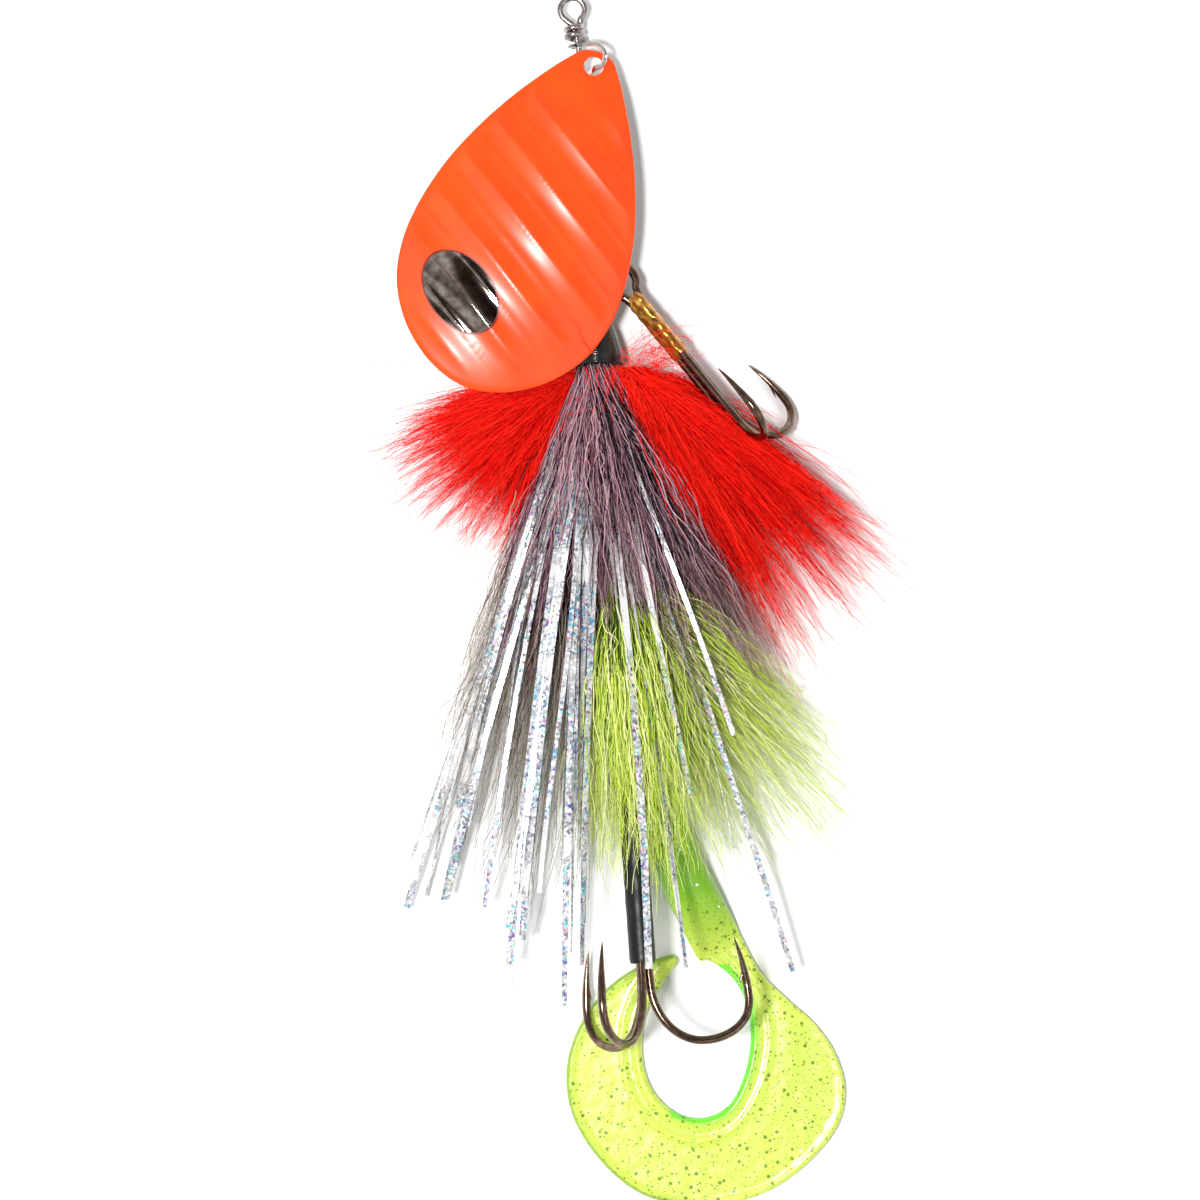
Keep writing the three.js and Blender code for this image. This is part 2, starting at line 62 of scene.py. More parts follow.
# ---- driving dimensions, as in the CAD model unless a line says otherwise ----
MM = 0.001
WIRE_R = 0.65
BORE = 0.95
WRAP_R, WRAP_PITCH, WRAP_TURNS = 1.45, 1.4, 2
SHAFT_UP = 4.0
LINE_TIE_R = 2.45
LOWER_LOOP_DOWN, LOWER_LOOP_R = 54.1, 3.05
REAR_PIVOT_DOWN = LOWER_LOOP_DOWN + LOWER_LOOP_R
REAR_RISE = math.radians(6.74)
REAR_TOP_LOOP = (58.0, 2.6)
REAR_END_LOOP = (150.6, 3.3)

BLADE_LENGTH, BLADE_THICK, BLADE_CUP = 73, 0.8, 5.5
BLADE_TURN, BLADE_PITCH = math.radians(26), math.radians(5)
BLADE_HOLE_R, BLADE_HOLE_ALONG = 2.0, 3.3  # 0.15 wider than in the CAD model, to clear the clevis
BLADE_TIP = (4.8, 9.1, 5.6)
BLADE_DEEPEST = 42
BLADE_OUTLINE = [
    (0, 0), (0.8, 3.0), (4, 5.8), (9, 9.2), (15, 12.8), (23, 16.8), (32, 20.2), (42, 22.3),
    (50, 22.5), (58, 20.6), (65, 16), (70, 9.8), (72.4, 4), (BLADE_LENGTH, 0),
]
FLUTE_PITCH, FLUTE_RIDGE, FLUTE_FIRST = 9.0, 1.2, -16.1
FLUTE_ALONG = np.array([0.864, 0.503])  # across and along the blade
WINDOW_MIDDLE, WINDOW_HALF = np.array([-7.7, 56.0]), (9.3, 6.25)

CLEVIS_TILT = math.radians(40)
CLEVIS_EYES = (7.4, 14.4)

EYE_NECK = 2.6
FRONT_TREBLE = dict(wire=0.85, eye_across=3.15, eye_along=3.9, length=44, reach=15.3, bend_in=9.5,
                    bend_out=5.5, point_rise=15.5, point_reach=0.87, single=75.6, barb=9.0)
REAR_TREBLE = dict(wire=0.85, eye_across=3.0, eye_along=3.6, length=52.5, reach=20.5, bend_in=12,
                   bend_out=7, point_rise=20, point_reach=0.9, single=114.5, barb=10.2)
FRONT_EYE = (5.5, 54.9, 6.9)
FRONT_TURN, FRONT_RISE = math.radians(34.7), math.radians(7.5)
REAR_EYE_DOWN = 155.6

RING_R, RING_WIRE_R, RING_CENTRE = 3.1, 0.4, (2.75, 53.75, 5.3)
KEEPER_EYE, KEEPER_EYE_R, KEEPER_WIRE_R = (150.3, 11.45), 1.65, 0.4
TAIL_THICK = 2.2

# ---- places ----
shaft_joint = next(j for j in frame["joints"] if j["name"] == "clevis_spin")
SHAFT_X = shaft_joint["pos_m"][0]
TIE_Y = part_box("shaft_wire")[1].y - (LINE_TIE_R + WIRE_R) * MM


def place(points):
    """The frame's metres of (x, down, up) millimetres."""
    p = np.asarray(points, float) * MM
    return np.stack([p[..., 0] + SHAFT_X, TIE_Y - p[..., 1], p[..., 2]], -1)


def turned_about(points, axis, angle):
    """Points (X, Y, Z) turned about a coordinate axis by the right-hand rule."""
    p = np.array(points, float)
    a, b = [(1, 2), (2, 0), (0, 1)][axis]
    u, v = p[..., a].copy(), p[..., b].copy()
    p[..., a] = u * math.cos(angle) - v * math.sin(angle)
    p[..., b] = u * math.sin(angle) + v * math.cos(angle)
    return p


def moved(points, origin, turn=0.0, rise=0.0):
    """(x, down, up) places measured from a tilted piece's own origin, as (x, down, up) of the lure."""
    p = np.asarray(points, float) * (1, -1, 1)
    p = turned_about(turned_about(p, 0, -rise), 2, turn) * (1, -1, 1)
    return p + origin


def on_rear(points):
    """Places given along the rear wire, with up measured from it."""
    p = np.asarray(points, float) - (0, REAR_PIVOT_DOWN, 0)
    return moved(p, (0, REAR_PIVOT_DOWN, SHAFT_UP), rise=REAR_RISE)


def rear_up(down):
    """Height of the rear wire over the table."""
    return SHAFT_UP + (down - REAR_PIVOT_DOWN) * math.tan(REAR_RISE)


# ---- shapes: vertices, quads and triangles ----
NO_TRIANGLES = np.empty((0, 3), int)


def unit(v):
    return v / np.linalg.norm(v, axis=-1, keepdims=True)


def smooth(points, count):
    """count points on a centripetal Catmull-Rom curve through the given ones."""
    p = np.asarray(points, float)
    p = np.concatenate([[2 * p[0] - p[1]], p, [2 * p[-1] - p[-2]]])
    knot = np.sqrt(np.linalg.norm(np.diff(p, axis=0), axis=1))[:, None] + 1e-9
    t = np.linspace(0, len(p) - 3, count)
    i = np.minimum(t.astype(int), len(p) - 4)
    u = (t - i)[:, None]
    a, b, c, d = p[i], p[i + 1], p[i + 2], p[i + 3]
    before, here, after = knot[i], knot[i + 1], knot[i + 2]
    leave = here * ((b - a) / before - (c - a) / (before + here)) + c - b
    arrive = c - b + here * ((d - c) / after - (d - b) / (here + after))
    return (b * (1 + 2 * u) * (1 - u) ** 2 + leave * u * (1 - u) ** 2
            + c * u**2 * (3 - 2 * u) - arrive * u**2 * (1 - u))


def run_of(path):
    """Distance along a line of points, from its first one."""
    return np.concatenate([[0], np.cumsum(np.linalg.norm(np.diff(path, axis=0), axis=1))])


def at_distances(path, run, wanted):
    """Places on a line of points, at the wanted distances along it."""
    return np.stack([np.interp(wanted, run, path[:, k]) for k in range(path.shape[1])], -1)


def hump(x, middle, width):
    """A bell curve of height 1."""
    return np.exp(-((x - middle) / width) ** 2)


def circle(sides):
    angle = 2 * math.pi * np.arange(sides) / sides
    return np.stack([np.cos(angle), np.sin(angle)], -1)


def skin(rings):
    """The closed surfaces of N solids, each made of K rings of S points."""
    n, k, s, _ = rings.shape
    number = np.arange(n * k * s).reshape(n, k, s)
    a, b = number[:, :-1], number[:, 1:]
    quads = np.stack([a, b, np.roll(b, -1, 2), np.roll(a, -1, 2)], -1).reshape(-1, 4)
    fan = np.arange(1, s - 1)
    first = np.repeat(number[:, 0, :1], s - 2, 1)
    last = np.repeat(number[:, -1, :1], s - 2, 1)
    start = np.stack([first, number[:, 0, fan], number[:, 0, fan + 1]], -1)
    end = np.stack([last, number[:, -1, fan + 1], number[:, -1, fan]], -1)
    return rings.reshape(-1, 3), quads, np.concatenate([start, end]).reshape(-1, 3)


def sweep(path, section, size, up=None):
    """A solid along a path in metres, of one section or one for each point, scaled by size.

    up keeps it level.
    """
    path = np.asarray(path, float)
    tangent = unit(np.gradient(path, axis=0))
    if up is None:
        side = np.array([0.0, 0.0, 1.0]) if abs(tangent[0][2]) < 0.9 else np.array([1.0, 0.0, 0.0])
        across = np.empty_like(path)
        for i, t in enumerate(tangent):
            side = unit(side - t * side.dot(t))
            across[i] = side
    else:
        across = unit(np.cross(tangent, up))
    over = np.cross(across, tangent)
    size = np.asarray(size, float)
    if size.ndim < 2:
        size = np.stack([np.broadcast_to(size, len(path))] * 2, -1)
    wide = (section[..., 0] * size[:, :1])[..., None] * across[:, None]
    high = (section[..., 1] * size[:, 1:])[..., None] * over[:, None]
    return skin((path[:, None] + (wide + high) * MM)[None])


def strands(paths, radii):
    """Many fine strands at once: paths is N x K places in metres, radii N x K millimetres."""
    tangent = unit(np.gradient(paths, axis=1))
    across = unit(np.cross(tangent, (0.0, 0.0, 1.0)) + 1e-9)
    over = np.cross(across, tangent)
    ring = circle(3)
    wide = ring[:, 0, None] * across[:, :, None]
    high = ring[:, 1, None] * over[:, :, None]
    return skin(paths[:, :, None] + (wide + high) * (radii * MM)[..., None, None])


def joined(shapes):
    """Several shapes as one."""
    vertices, quads, triangles, count = [], [], [], 0
    for v, q, t in shapes:
        vertices.append(v)
        quads.append(q + count)
        triangles.append(t + count)
        count += len(v)
    return np.concatenate(vertices), np.concatenate(quads), np.concatenate(triangles)


def lathe(profile, sides=48, to_place=None):
    """A closed profile of [radius, down] turned round the shaft, or round the line that to_place gives."""
    profile = np.asarray(profile, float)
    ring = circle(sides)
    wide, high = profile[:, 0] * ring[:, :1], profile[:, 0] * ring[:, 1:]
    points = np.stack([wide, np.broadcast_to(profile[:, 1], wide.shape), high], -1)
    number = np.arange(sides * len(profile)).reshape(sides, -1)
    right, below = np.roll(number, -1, 0), np.roll(number, -1, 1)
    quads = np.stack([number, right, np.roll(right, -1, 1), below], -1).reshape(-1, 4)
    points = points.reshape(-1, 3)
    world = place(points + (0, 0, SHAFT_UP)) if to_place is None else place(to_place(points))
    return world, quads, NO_TRIANGLES


def sheet(top, under):
    """A closed shape between two grids of places, each made of rings of places round a middle."""
    def beside(numbers):
        return np.roll(numbers, -1, -1)

    a = np.arange(top[..., 0].size).reshape(top.shape[:2])
    b = a + a.size
    faces = [
        np.stack([a[:-1], beside(a[:-1]), beside(a[1:]), a[1:]], -1),
        np.stack([b[:-1], b[1:], beside(b[1:]), beside(b[:-1])], -1),
        np.stack([a[:1], b[:1], beside(b[:1]), beside(a[:1])], -1),
        np.stack([a[-1:], beside(a[-1:]), beside(b[-1:]), b[-1:]], -1),
    ]
    vertices = np.concatenate([top.reshape(-1, 3), under.reshape(-1, 3)])
    return vertices, np.concatenate([f.reshape(-1, 4) for f in faces]), NO_TRIANGLES


def volume(shape):
    v, q, t = shape
    tri = np.concatenate([q[:, [0, 1, 2]], q[:, [0, 2, 3]], t])
    a, b, c = v[tri[:, 0]], v[tri[:, 1]], v[tri[:, 2]]
    return float((a * np.cross(b, c)).sum())


def facing_out(shape):
    v, q, t = shape
    return (v, q[:, ::-1], t[:, ::-1]) if volume(shape) < 0 else shape


def put(name, data):
    """A new object in the scene."""
    made = bpy.data.objects.new(name, data)
    bpy.context.scene.collection.objects.link(made)
    return made


def add(name, shape, material, body, *nodes, crease=40):
    """A mesh piece made of a shape, riding on a body and standing for CAD nodes."""
    vertices, quads, triangles = facing_out(shape)
    mesh = bpy.data.meshes.new(name)
    mesh.vertices.add(len(vertices))
    mesh.vertices.foreach_set("co", np.ascontiguousarray(vertices, np.float32).ravel())
    corners = np.concatenate([quads.ravel(), triangles.ravel()]).astype(np.int32)
    mesh.loops.add(len(corners))
    mesh.loops.foreach_set("vertex_index", corners)
    sizes = np.concatenate([np.full(len(quads), 4), np.full(len(triangles), 3)])
    mesh.polygons.add(len(sizes))
    mesh.polygons.foreach_set("loop_start", (np.cumsum(sizes) - sizes).astype(np.int32))
    mesh.update(calc_edges=True)
    mesh.shade_smooth()
    if crease:
        mesh.set_sharp_from_angle(angle=math.radians(crease))
    mesh.materials.append(material)
    piece = put(name, mesh)
    if body:
        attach(piece, body)
    if nodes:
        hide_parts(*nodes)
    return piece


# ---- materials ----
def shader(name, slot, colour, roughness, **inputs):
    """A Principled material. Inputs are named as in Blender, with _ for a space."""
    material = bpy.data.materials.new(name)
    material.use_nodes = True
    material["slot"] = slot
    bsdf = material.node_tree.nodes["Principled BSDF"]
    bsdf.inputs["Base Color"].default_value = (*colour, 1)
    bsdf.inputs["Roughness"].default_value = roughness
    for key, value in inputs.items():
        bsdf.inputs[key.replace("_", " ")].default_value = value
    return material


def node(material, kind, **values):
    """A new node. Its inputs are named with _ for a space, and its settings start with a small letter."""
    made = material.node_tree.nodes.new(kind)
    for key, value in values.items():
        if key[0].isupper():
            made.inputs[key.replace("_", " ")].default_value = value
        else:
            setattr(made, key, value)
    return made


def link(material, source, target):
    material.node_tree.links.new(source, target)


def bsdf_input(material, name):
    return material.node_tree.nodes["Principled BSDF"].inputs[name]


def feed(material, source, name):
    """Links a node's output to an input of the material's shader."""
    link(material, source, bsdf_input(material, name))


def place_texture(material, kind, scale, **values):
    """A texture node in the object's own coordinates; scale is features for each millimetre."""
    coordinates = node(material, "ShaderNodeTexCoord")
    texture = node(material, kind, Scale=scale / MM, **values)
    link(material, coordinates.outputs["Object"], texture.inputs["Vector"])
    return texture


def ramp(material, source, stops, constant=False):
    """Colours set by a value: stops are (value, (r, g, b))."""
    made = node(material, "ShaderNodeValToRGB")
    if constant:
        made.color_ramp.interpolation = "CONSTANT"
    elements = made.color_ramp.elements
    while len(elements) < len(stops):
        elements.new(0.5)
    for element, (value, colour) in zip(elements, stops):
        element.position = value
        element.color = (*colour, 1)
    link(material, source, made.inputs["Fac"])
    return made.outputs["Color"]


def mottle(material, scale, *stops):
    """Varies the base colour with soft noise."""
    noise = place_texture(material, "ShaderNodeTexNoise", scale, Detail=4.0)
    feed(material, ramp(material, noise.outputs["Fac"], stops), "Base Color")


def bump(material, scale, height, detail=3.0):
    """Fine relief, height in millimetres."""
    noise = place_texture(material, "ShaderNodeTexNoise", scale, Detail=detail)
    relief = node(material, "ShaderNodeBump", Strength=0.6, Distance=height * MM)
    link(material, noise.outputs["Fac"], relief.inputs["Height"])
    feed(material, relief.outputs["Normal"], "Normal")


def stainless_wire():
    material = shader("stainless", "stainless_wire", (0.34, 0.31, 0.29), 0.24, Metallic=1.0)
    mottle(material, 0.9, (0.35, (0.24, 0.21, 0.20)), (0.65, (0.46, 0.42, 0.40)))
    bump(material, 3.0, 0.012)
    return material


def polished_nickel():
    material = shader("nickel", "nickel_plate", (0.78, 0.75, 0.70), 0.09, Metallic=1.0)
    mottle(material, 0.4, (0.3, (0.70, 0.67, 0.62)), (0.7, (0.84, 0.81, 0.77)))
    return material


def mirror_nickel():
    """The bare plating of the blade's window, mottled dark brown to warm grey as a painted dark reflection on
    the nickel.
    """
    material = shader("window_nickel", "nickel_plate", (0.62, 0.58, 0.54), 0.07, Metallic=1.0)
    # Painted reflection: the dark brown mottle stands in for the dark reflections the window shows.
    mottle(material, 0.5, (0.35, (0.30, 0.22, 0.18)), (0.62, (0.66, 0.58, 0.52)))
    return material


def polished_brass():
    material = shader("brass", "brass", (0.80, 0.56, 0.22), 0.18, Metallic=1.0)
    mottle(material, 0.8, (0.3, (0.70, 0.46, 0.16)), (0.7, (0.86, 0.63, 0.29)))
    return material


def hook_bronze():
    material = shader("hook_bronze", "bronze_hook", (0.16, 0.10, 0.07), 0.17, Metallic=1.0)
    mottle(material, 0.7, (0.35, (0.12, 0.075, 0.055)), (0.7, (0.25, 0.17, 0.12)))
    bump(material, 1.6, 0.02)
    return material


def braze_gold():
    material = shader("braze", "bronze_hook", (0.50, 0.25, 0.04), 0.3, Metallic=0.85)
    mottle(material, 0.6, (0.3, (0.30, 0.11, 0.02)), (0.5, (0.50, 0.22, 0.035)), (0.72, (0.74, 0.44, 0.12)))
    bump(material, 0.9, 0.08)
    return material


def blade_paint():
    """Fluorescent orange under a thin clear coat, with the faintest orange peel."""
    material = shader("orange_paint", "orange_paint", (1.0, 0.06, 0.001), 0.34, Specular_IOR_Level=0.4,
                      Coat_Weight=0.18, Coat_Roughness=0.2)
    mottle(material, 0.12, (0.35, (1.0, 0.05, 0.0003)), (0.65, (1.0, 0.064, 0.0006)))
    bump(material, 2.2, 0.004)
    return material


def window_rim():
    return shader("window_rim", "orange_paint", (0.16, 0.012, 0.006), 0.4)


def red_bead_plastic():
    material = shader("red_plastic", "red_plastic", (0.62, 0.01, 0.01), 0.12, Transmission_Weight=0.3)
    bump(material, 0.7, 0.02)
    return material


def lacquered_thread():
    material = shader("black_thread", "black_thread", (0.003, 0.003, 0.003), 0.22, Coat_Weight=0.3,
                      Coat_Roughness=0.08)
    bump(material, 1.2, 0.05)
    return material


def shrink_rubber():
    material = shader("shrink_rubber", "black_rubber", (0.004, 0.006, 0.005), 0.38, Specular_IOR_Level=0.3)
    bump(material, 1.0, 0.08)
    return material


def fibres(slot, roughness, colours, **inputs):
    """A fibre for each named colour, so that a bundle's colour varies from hair to hair. Some of the colours
    stand for painted shade and a painted highlight, not for dye.
    """
    return [shader(name, slot, colour, roughness, **inputs) for name, colour in colours.items()]


def holographic_film():
    """Metallised film, silver with cells of blue, teal, pink and purple glitter."""
    material = shader("holographic_film", "silver_film", (0.9, 0.9, 0.93), 0.13, Metallic=0.45)
    cells = place_texture(material, "ShaderNodeTexVoronoi", 1.9)
    split = node(material, "ShaderNodeSeparateColor")
    link(material, cells.outputs["Color"], split.inputs["Color"])
    patches = place_texture(material, "ShaderNodeTexNoise", 0.07, Detail=2.0)
    glittering = node(material, "ShaderNodeMapRange", From_Min=0.37, From_Max=0.50)
    link(material, patches.outputs["Fac"], glittering.inputs["Value"])
    share = node(material, "ShaderNodeMath", operation="MULTIPLY")
    link(material, split.outputs["Red"], share.inputs[0])
    link(material, glittering.outputs["Result"], share.inputs[1])
    colours = ramp(material, share.outputs[0], [
        (0.0, (0.86, 0.86, 0.87)), (0.10, (0.56, 0.57, 0.60)), (0.36, (0.24, 0.26, 0.29)),
        (0.48, (0.80, 0.80, 0.82)), (0.68, (0.10, 0.38, 0.62)), (0.75, (0.22, 0.62, 0.58)),
        (0.81, (0.62, 0.30, 0.48)), (0.87, (0.20, 0.12, 0.38)), (0.93, (0.55, 0.52, 0.40)),
    ], constant=True)
    feed(material, colours, "Base Color")
    rough = ramp(material, split.outputs["Green"], [(0.0, (0.08, 0.08, 0.08)), (1.0, (0.38, 0.38, 0.38))])
    feed(material, rough, "Roughness")
    return material


def soft_plastic():
    """Translucent chartreuse plastic full of dark flakes, tinted by the mesh's own tint attribute, which also
    carries the painted shade on the body.
    """
    material = shader("soft_plastic", "soft_plastic", (0.6, 0.8, 0.05), 0.28, Subsurface_Weight=0.55,
                      Subsurface_Scale=0.003, Coat_Weight=0.08, Coat_Roughness=0.2)
    bsdf_input(material, "Subsurface Radius").default_value = (1.0, 1.3, 0.25)
    colour = node(material, "ShaderNodeVertexColor", layer_name="tint").outputs["Color"]
    flakes = [(0.45, 0.17, (0.13, 0.24, 0.01)), (0.8, 0.19, (0.20, 0.30, 0.02)),
              (1.5, 0.19, (0.18, 0.25, 0.02)), (0.16, 0.055, (0.75, 0.95, 0.85))]
    for scale, size, flake_colour in flakes:
        cells = place_texture(material, "ShaderNodeTexVoronoi", scale)
        inside = node(material, "ShaderNodeMath", operation="LESS_THAN")
        inside.inputs[1].default_value = size
        link(material, cells.outputs["Distance"], inside.inputs[0])
        mix = node(material, "ShaderNodeMix", data_type="RGBA")
        link(material, inside.outputs[0], mix.inputs["Factor"])
        link(material, colour, mix.inputs[6])
        mix.inputs[7].default_value = (*flake_colour, 1)
        colour = mix.outputs[2]
    feed(material, colour, "Base Color")
    bump(material, 0.35, 0.25, detail=1.0)
    return material


# ---- shaft and what runs on it ----
def loop_end(middle, radius, way):
    """A closed wire loop and its wraps; way is 1 at a wire's top end and -1 at its lower end."""
    neck = 0.65
    angle = np.linspace(neck, 2 * math.pi - neck, 17)
    loop = np.stack([-radius * np.sin(angle), middle + way * radius * np.cos(angle), 0 * angle], -1)
    turn = np.linspace(0, 2 * math.pi * WRAP_TURNS, 12 * WRAP_TURNS + 1)
    start = middle + way * (radius + 0.8)
    down = start + way * WRAP_PITCH * turn / (2 * math.pi)
    return np.concatenate([loop, np.stack([WRAP_R * np.cos(turn), down, WRAP_R * np.sin(turn)], -1)])


def looped_wire(top, end):
    """The route of a spinner wire with a wrapped loop at each end, each given as (down, radius)."""
    joint = 1.2
    # Known fault: with only these two points the straight part bows by 1 to 2 mm.
    straight = [(0, top[0] + top[1] + joint, 0), (0, end[0] - end[1] - joint, 0)]
    route = np.concatenate([loop_end(*top, 1)[::-1], straight, loop_end(*end, -1)])
    return smooth(route, 6 * len(route))


def shaft_wire():
    route = looped_wire((0, LINE_TIE_R), (LOWER_LOOP_DOWN, LOWER_LOOP_R)) + (0, 0, SHAFT_UP)
    add("shaft_wire_fine", sweep(place(route), circle(14), WIRE_R), stainless, "shaft", "shaft_wire")


def rounded_strap(corner):
    """A flat strap's section, 2 x 2, with rounded corners."""
    quarter = [math.radians(a) for a in (0, 30, 60, 90)]
    points = []
    for k, (sx, sy) in enumerate([(1, 1), (-1, 1), (-1, -1), (1, -1)]):
        for a in quarter:
            angle = a + k * math.pi / 2
            points.append((sx * (1 - corner) + corner * math.cos(angle),
                           sy * (1 - corner) + corner * math.sin(angle)))
    return np.array(points)


def clevis():
    bow = smooth([
        (1.2, CLEVIS_EYES[0], 0), (3.4, 7.2, 0), (6.0, 7.8, 0), (7.6, 9.6, 0), (6.8, 11.8, 0),
        (4.5, 12.4, 0), (2.6, 13.8, 0), (1.2, CLEVIS_EYES[1], 0),
    ], 60)

    def tilted(points):
        p = turned_about(points * (1, -1, 1), 1, -CLEVIS_TILT) * (1, -1, 1)
        return p + (0, 0, SHAFT_UP)

    shapes = [sweep(place(tilted(bow)), rounded_strap(0.75), np.tile([0.55, 0.28], (60, 1)),
                    up=turned_about(np.array([0, 0, 1.0]), 1, -CLEVIS_TILT))]
    for down in CLEVIS_EYES:
        start, end = down - 0.32, down + 0.32
        rim = [(BORE, start), (1.7, start), (1.95, start + 0.12), (1.95, end - 0.12), (1.7, end), (BORE, end)]
        shapes.append(lathe(rim, 40, tilted))
    add("clevis_polished", joined([facing_out(s) for s in shapes]), nickel, "clevis", "clevis")


def ball(radius, start, end):
    """The profile of a round bead between two places on the shaft."""
    edge = math.asin((BORE + 0.3) / radius)
    stretch = (end - start) / (2 * math.cos(edge))
    angle = np.linspace(edge, math.pi - edge, 25)
    outside = np.stack([radius * np.sin(angle), (start + end) / 2 - stretch * np.cos(angle)], -1)
    return np.concatenate([outside, [(BORE, end), (BORE, start)]])


def beads():
    add("bearing_bead_fine", lathe(ball(1.9, 15.1, 18.8)), brass, "bearing_bead", "bearing_bead")
    add("red_bead_fine", lathe(ball(2.9, 38.8, 44.0), 64), red_plastic, "red_bead", "red_bead")
    add("stop_bead_fine", lathe(ball(1.7, 44.3, 46.4)), brass, "stop_bead", "stop_bead")


def weight_body():
    """A turned brass body, nickel plated, with fine rings cut near its ends."""
    outline = [(1.6, 19.2), (2.6, 20.6), (3.3, 23.5), (3.4, 28), (3.0, 33), (2.1, 37), (1.5, 38.4)]
    outside = smooth(outline, 120)
    for groove in (21.6, 22.6, 34.4, 35.4):
        outside[:, 0] -= 0.18 * hump(outside[:, 1], groove, 0.16)
    profile = np.concatenate([outside, [(BORE, 38.4), (BORE, 19.2)]])
    add("weight_body_fine", lathe(profile, 56), nickel, "weight_body", "weight_body")


# ---- blade ----
def blade_height(across, along, rim_distance):
    """Height over the blade's rim plane: its cup, with scalloped flutes that fade out at its rim."""
    reach = np.where(along < BLADE_DEEPEST, 44, 33)
    cup = BLADE_CUP * (1 - ((along - BLADE_DEEPEST) / reach) ** 2 - (across / 24) ** 2)
    over = FLUTE_ALONG[1] * across - FLUTE_ALONG[0] * along
    u = ((over - FLUTE_FIRST) / FLUTE_PITCH) % 1
    scallop = (np.sqrt((2 * u - 1) ** 2 + 0.002) - 0.5) * np.abs(2 * u - 1) ** 0.6
    fade = np.clip(rim_distance / 9.0, 0, 1) * np.clip((along - 7) / 9, 0, 1)
    return cup + FLUTE_RIDGE * scallop * fade**2 * (3 - 2 * fade)


def on_blade(across, along, height):
    local = np.stack([across, along, height], -1)
    return place(moved(local, BLADE_TIP, -BLADE_TURN, BLADE_PITCH))


def blade_rim(count):
    """(across, along) places round the blade's outline, evenly spaced."""
    side = smooth([(half, along) for along, half in BLADE_OUTLINE], 400)
    outline = np.concatenate([side, side[-2:0:-1] * (-1, 1), side[:1]])
    run = run_of(outline)
    return at_distances(outline, run, np.linspace(0, run[-1], count, endpoint=False))


def blade():
    rim = blade_rim(420)
    rings = 112
    hole = np.array([0, BLADE_HOLE_ALONG])
    edge = hole + unit(rim - hole) * BLADE_HOLE_R
    t = (np.arange(rings + 1) / rings) ** 1.15
    grid = edge[None] + (rim - edge)[None] * t[:, None, None]
    rim_distance = np.linalg.norm(rim - edge, axis=1)[None] * (1 - t[:, None])
    across, along = grid[..., 0], grid[..., 1]
    height = blade_height(across, along, rim_distance)
    rounding = 0.18 * np.clip(1 - rim_distance / 0.5, 0, 1) ** 2
    top = on_blade(across, along, height + BLADE_THICK / 2 - rounding)
    under = on_blade(across, along, height - BLADE_THICK / 2 + rounding)
    shape = sheet(top, under)
    piece = add("blade_fluted", shape, orange_paint, "blade", "blade")
    piece.data.materials.append(nickel)
    side_faces = rings * len(rim)
    bare = np.zeros(len(shape[1]), np.int32)
    bare[side_faces:2 * side_faces] = 1
    piece.data.polygons.foreach_set("material_index", bare)


def window_ring(inner, outer, lift, thick, rings):
    """A patch of the blade's surface between two ellipses, as a thin closed sheet."""
    angle = np.linspace(0, 2 * math.pi, 160, endpoint=False)
    side = np.array([FLUTE_ALONG[1], -FLUTE_ALONG[0]])
    reach = np.linspace(inner, outer, rings + 1)
    way = (np.cos(angle)[:, None] * FLUTE_ALONG * WINDOW_HALF[0]
           + np.sin(angle)[:, None] * side * WINDOW_HALF[1])
    grid = WINDOW_MIDDLE + reach[:, None, None] * way[None]
    across, along = grid[..., 0], grid[..., 1]
    height = blade_height(across, along, np.full(across.shape, 10.0)) + BLADE_THICK / 2 + lift
    return sheet(on_blade(across, along, height), on_blade(across, along, height - thick))


def blade_window():
    add("blade_window", window_ring(0.001, 1.0, 0.05, 0.1, 70), mirror, "blade")
    add("blade_window_rim", window_ring(0.985, 1.035, 0.07, 0.12, 4), rim_red, "blade")


# ---- hooks ----
def way_of(degrees):
    angle = math.radians(degrees)
    return np.array([math.cos(angle), 0, math.sin(angle)])


def spread_of(treble):
    """Distance of each shank wire from the shank's middle, once they are brazed together."""
    return (2 * treble["wire"] + 0.3) / math.sqrt(3)


def hook_path(treble, degrees):
    """The points of one hook, from the shank to its tip."""
    way, near, low = way_of(degrees), spread_of(treble), treble["reach"] * 0.55
    length, bend_in, bend_out = treble["length"], treble["bend_in"], treble["bend_out"]
    inner = np.linspace(0, math.pi / 2, 7)
    outer = np.linspace(0, math.pi / 2, 5)[1:]
    spear = np.array([0.35, 0.7, 1.0])
    rise = treble["point_rise"] - bend_out
    reach = np.concatenate([
        low - (low - near) * np.cos(inner),
        low + (treble["reach"] - low) * np.sin(outer),
        treble["reach"] * (1 - (1 - treble["point_reach"]) * spear**2),
    ])
    down = np.concatenate([
        length - bend_in * (1 - np.sin(inner)),
        length - bend_out * (1 - np.cos(outer)),
        length - bend_out - rise * spear,
    ])
    return reach[:, None] * way + down[:, None] * (0, 1, 0)


def needle(path, wire, both_ends):
    """Radius along a hook wire, ground down to a needle point."""
    run = run_of(path)
    left = run[-1] - run
    if both_ends:
        left = np.minimum(left, run)
    return wire * np.clip(0.06 + 0.94 * (left / 9.5) ** 0.75, 0, 1)


def barb(path, treble):
    """A sliver raised from the spear's inner side, leaning away from the point."""
    from_tip = path[::-1]
    base, far = at_distances(from_tip, run_of(from_tip), [treble["barb"] - 3.4, treble["barb"]])
    inward = -unit(far * (1, 0, 1))
    tip = far + inward * (treble["wire"] + 1.0)
    return np.linspace(base, tip, 10), np.linspace(0.5, 0.04, 10)


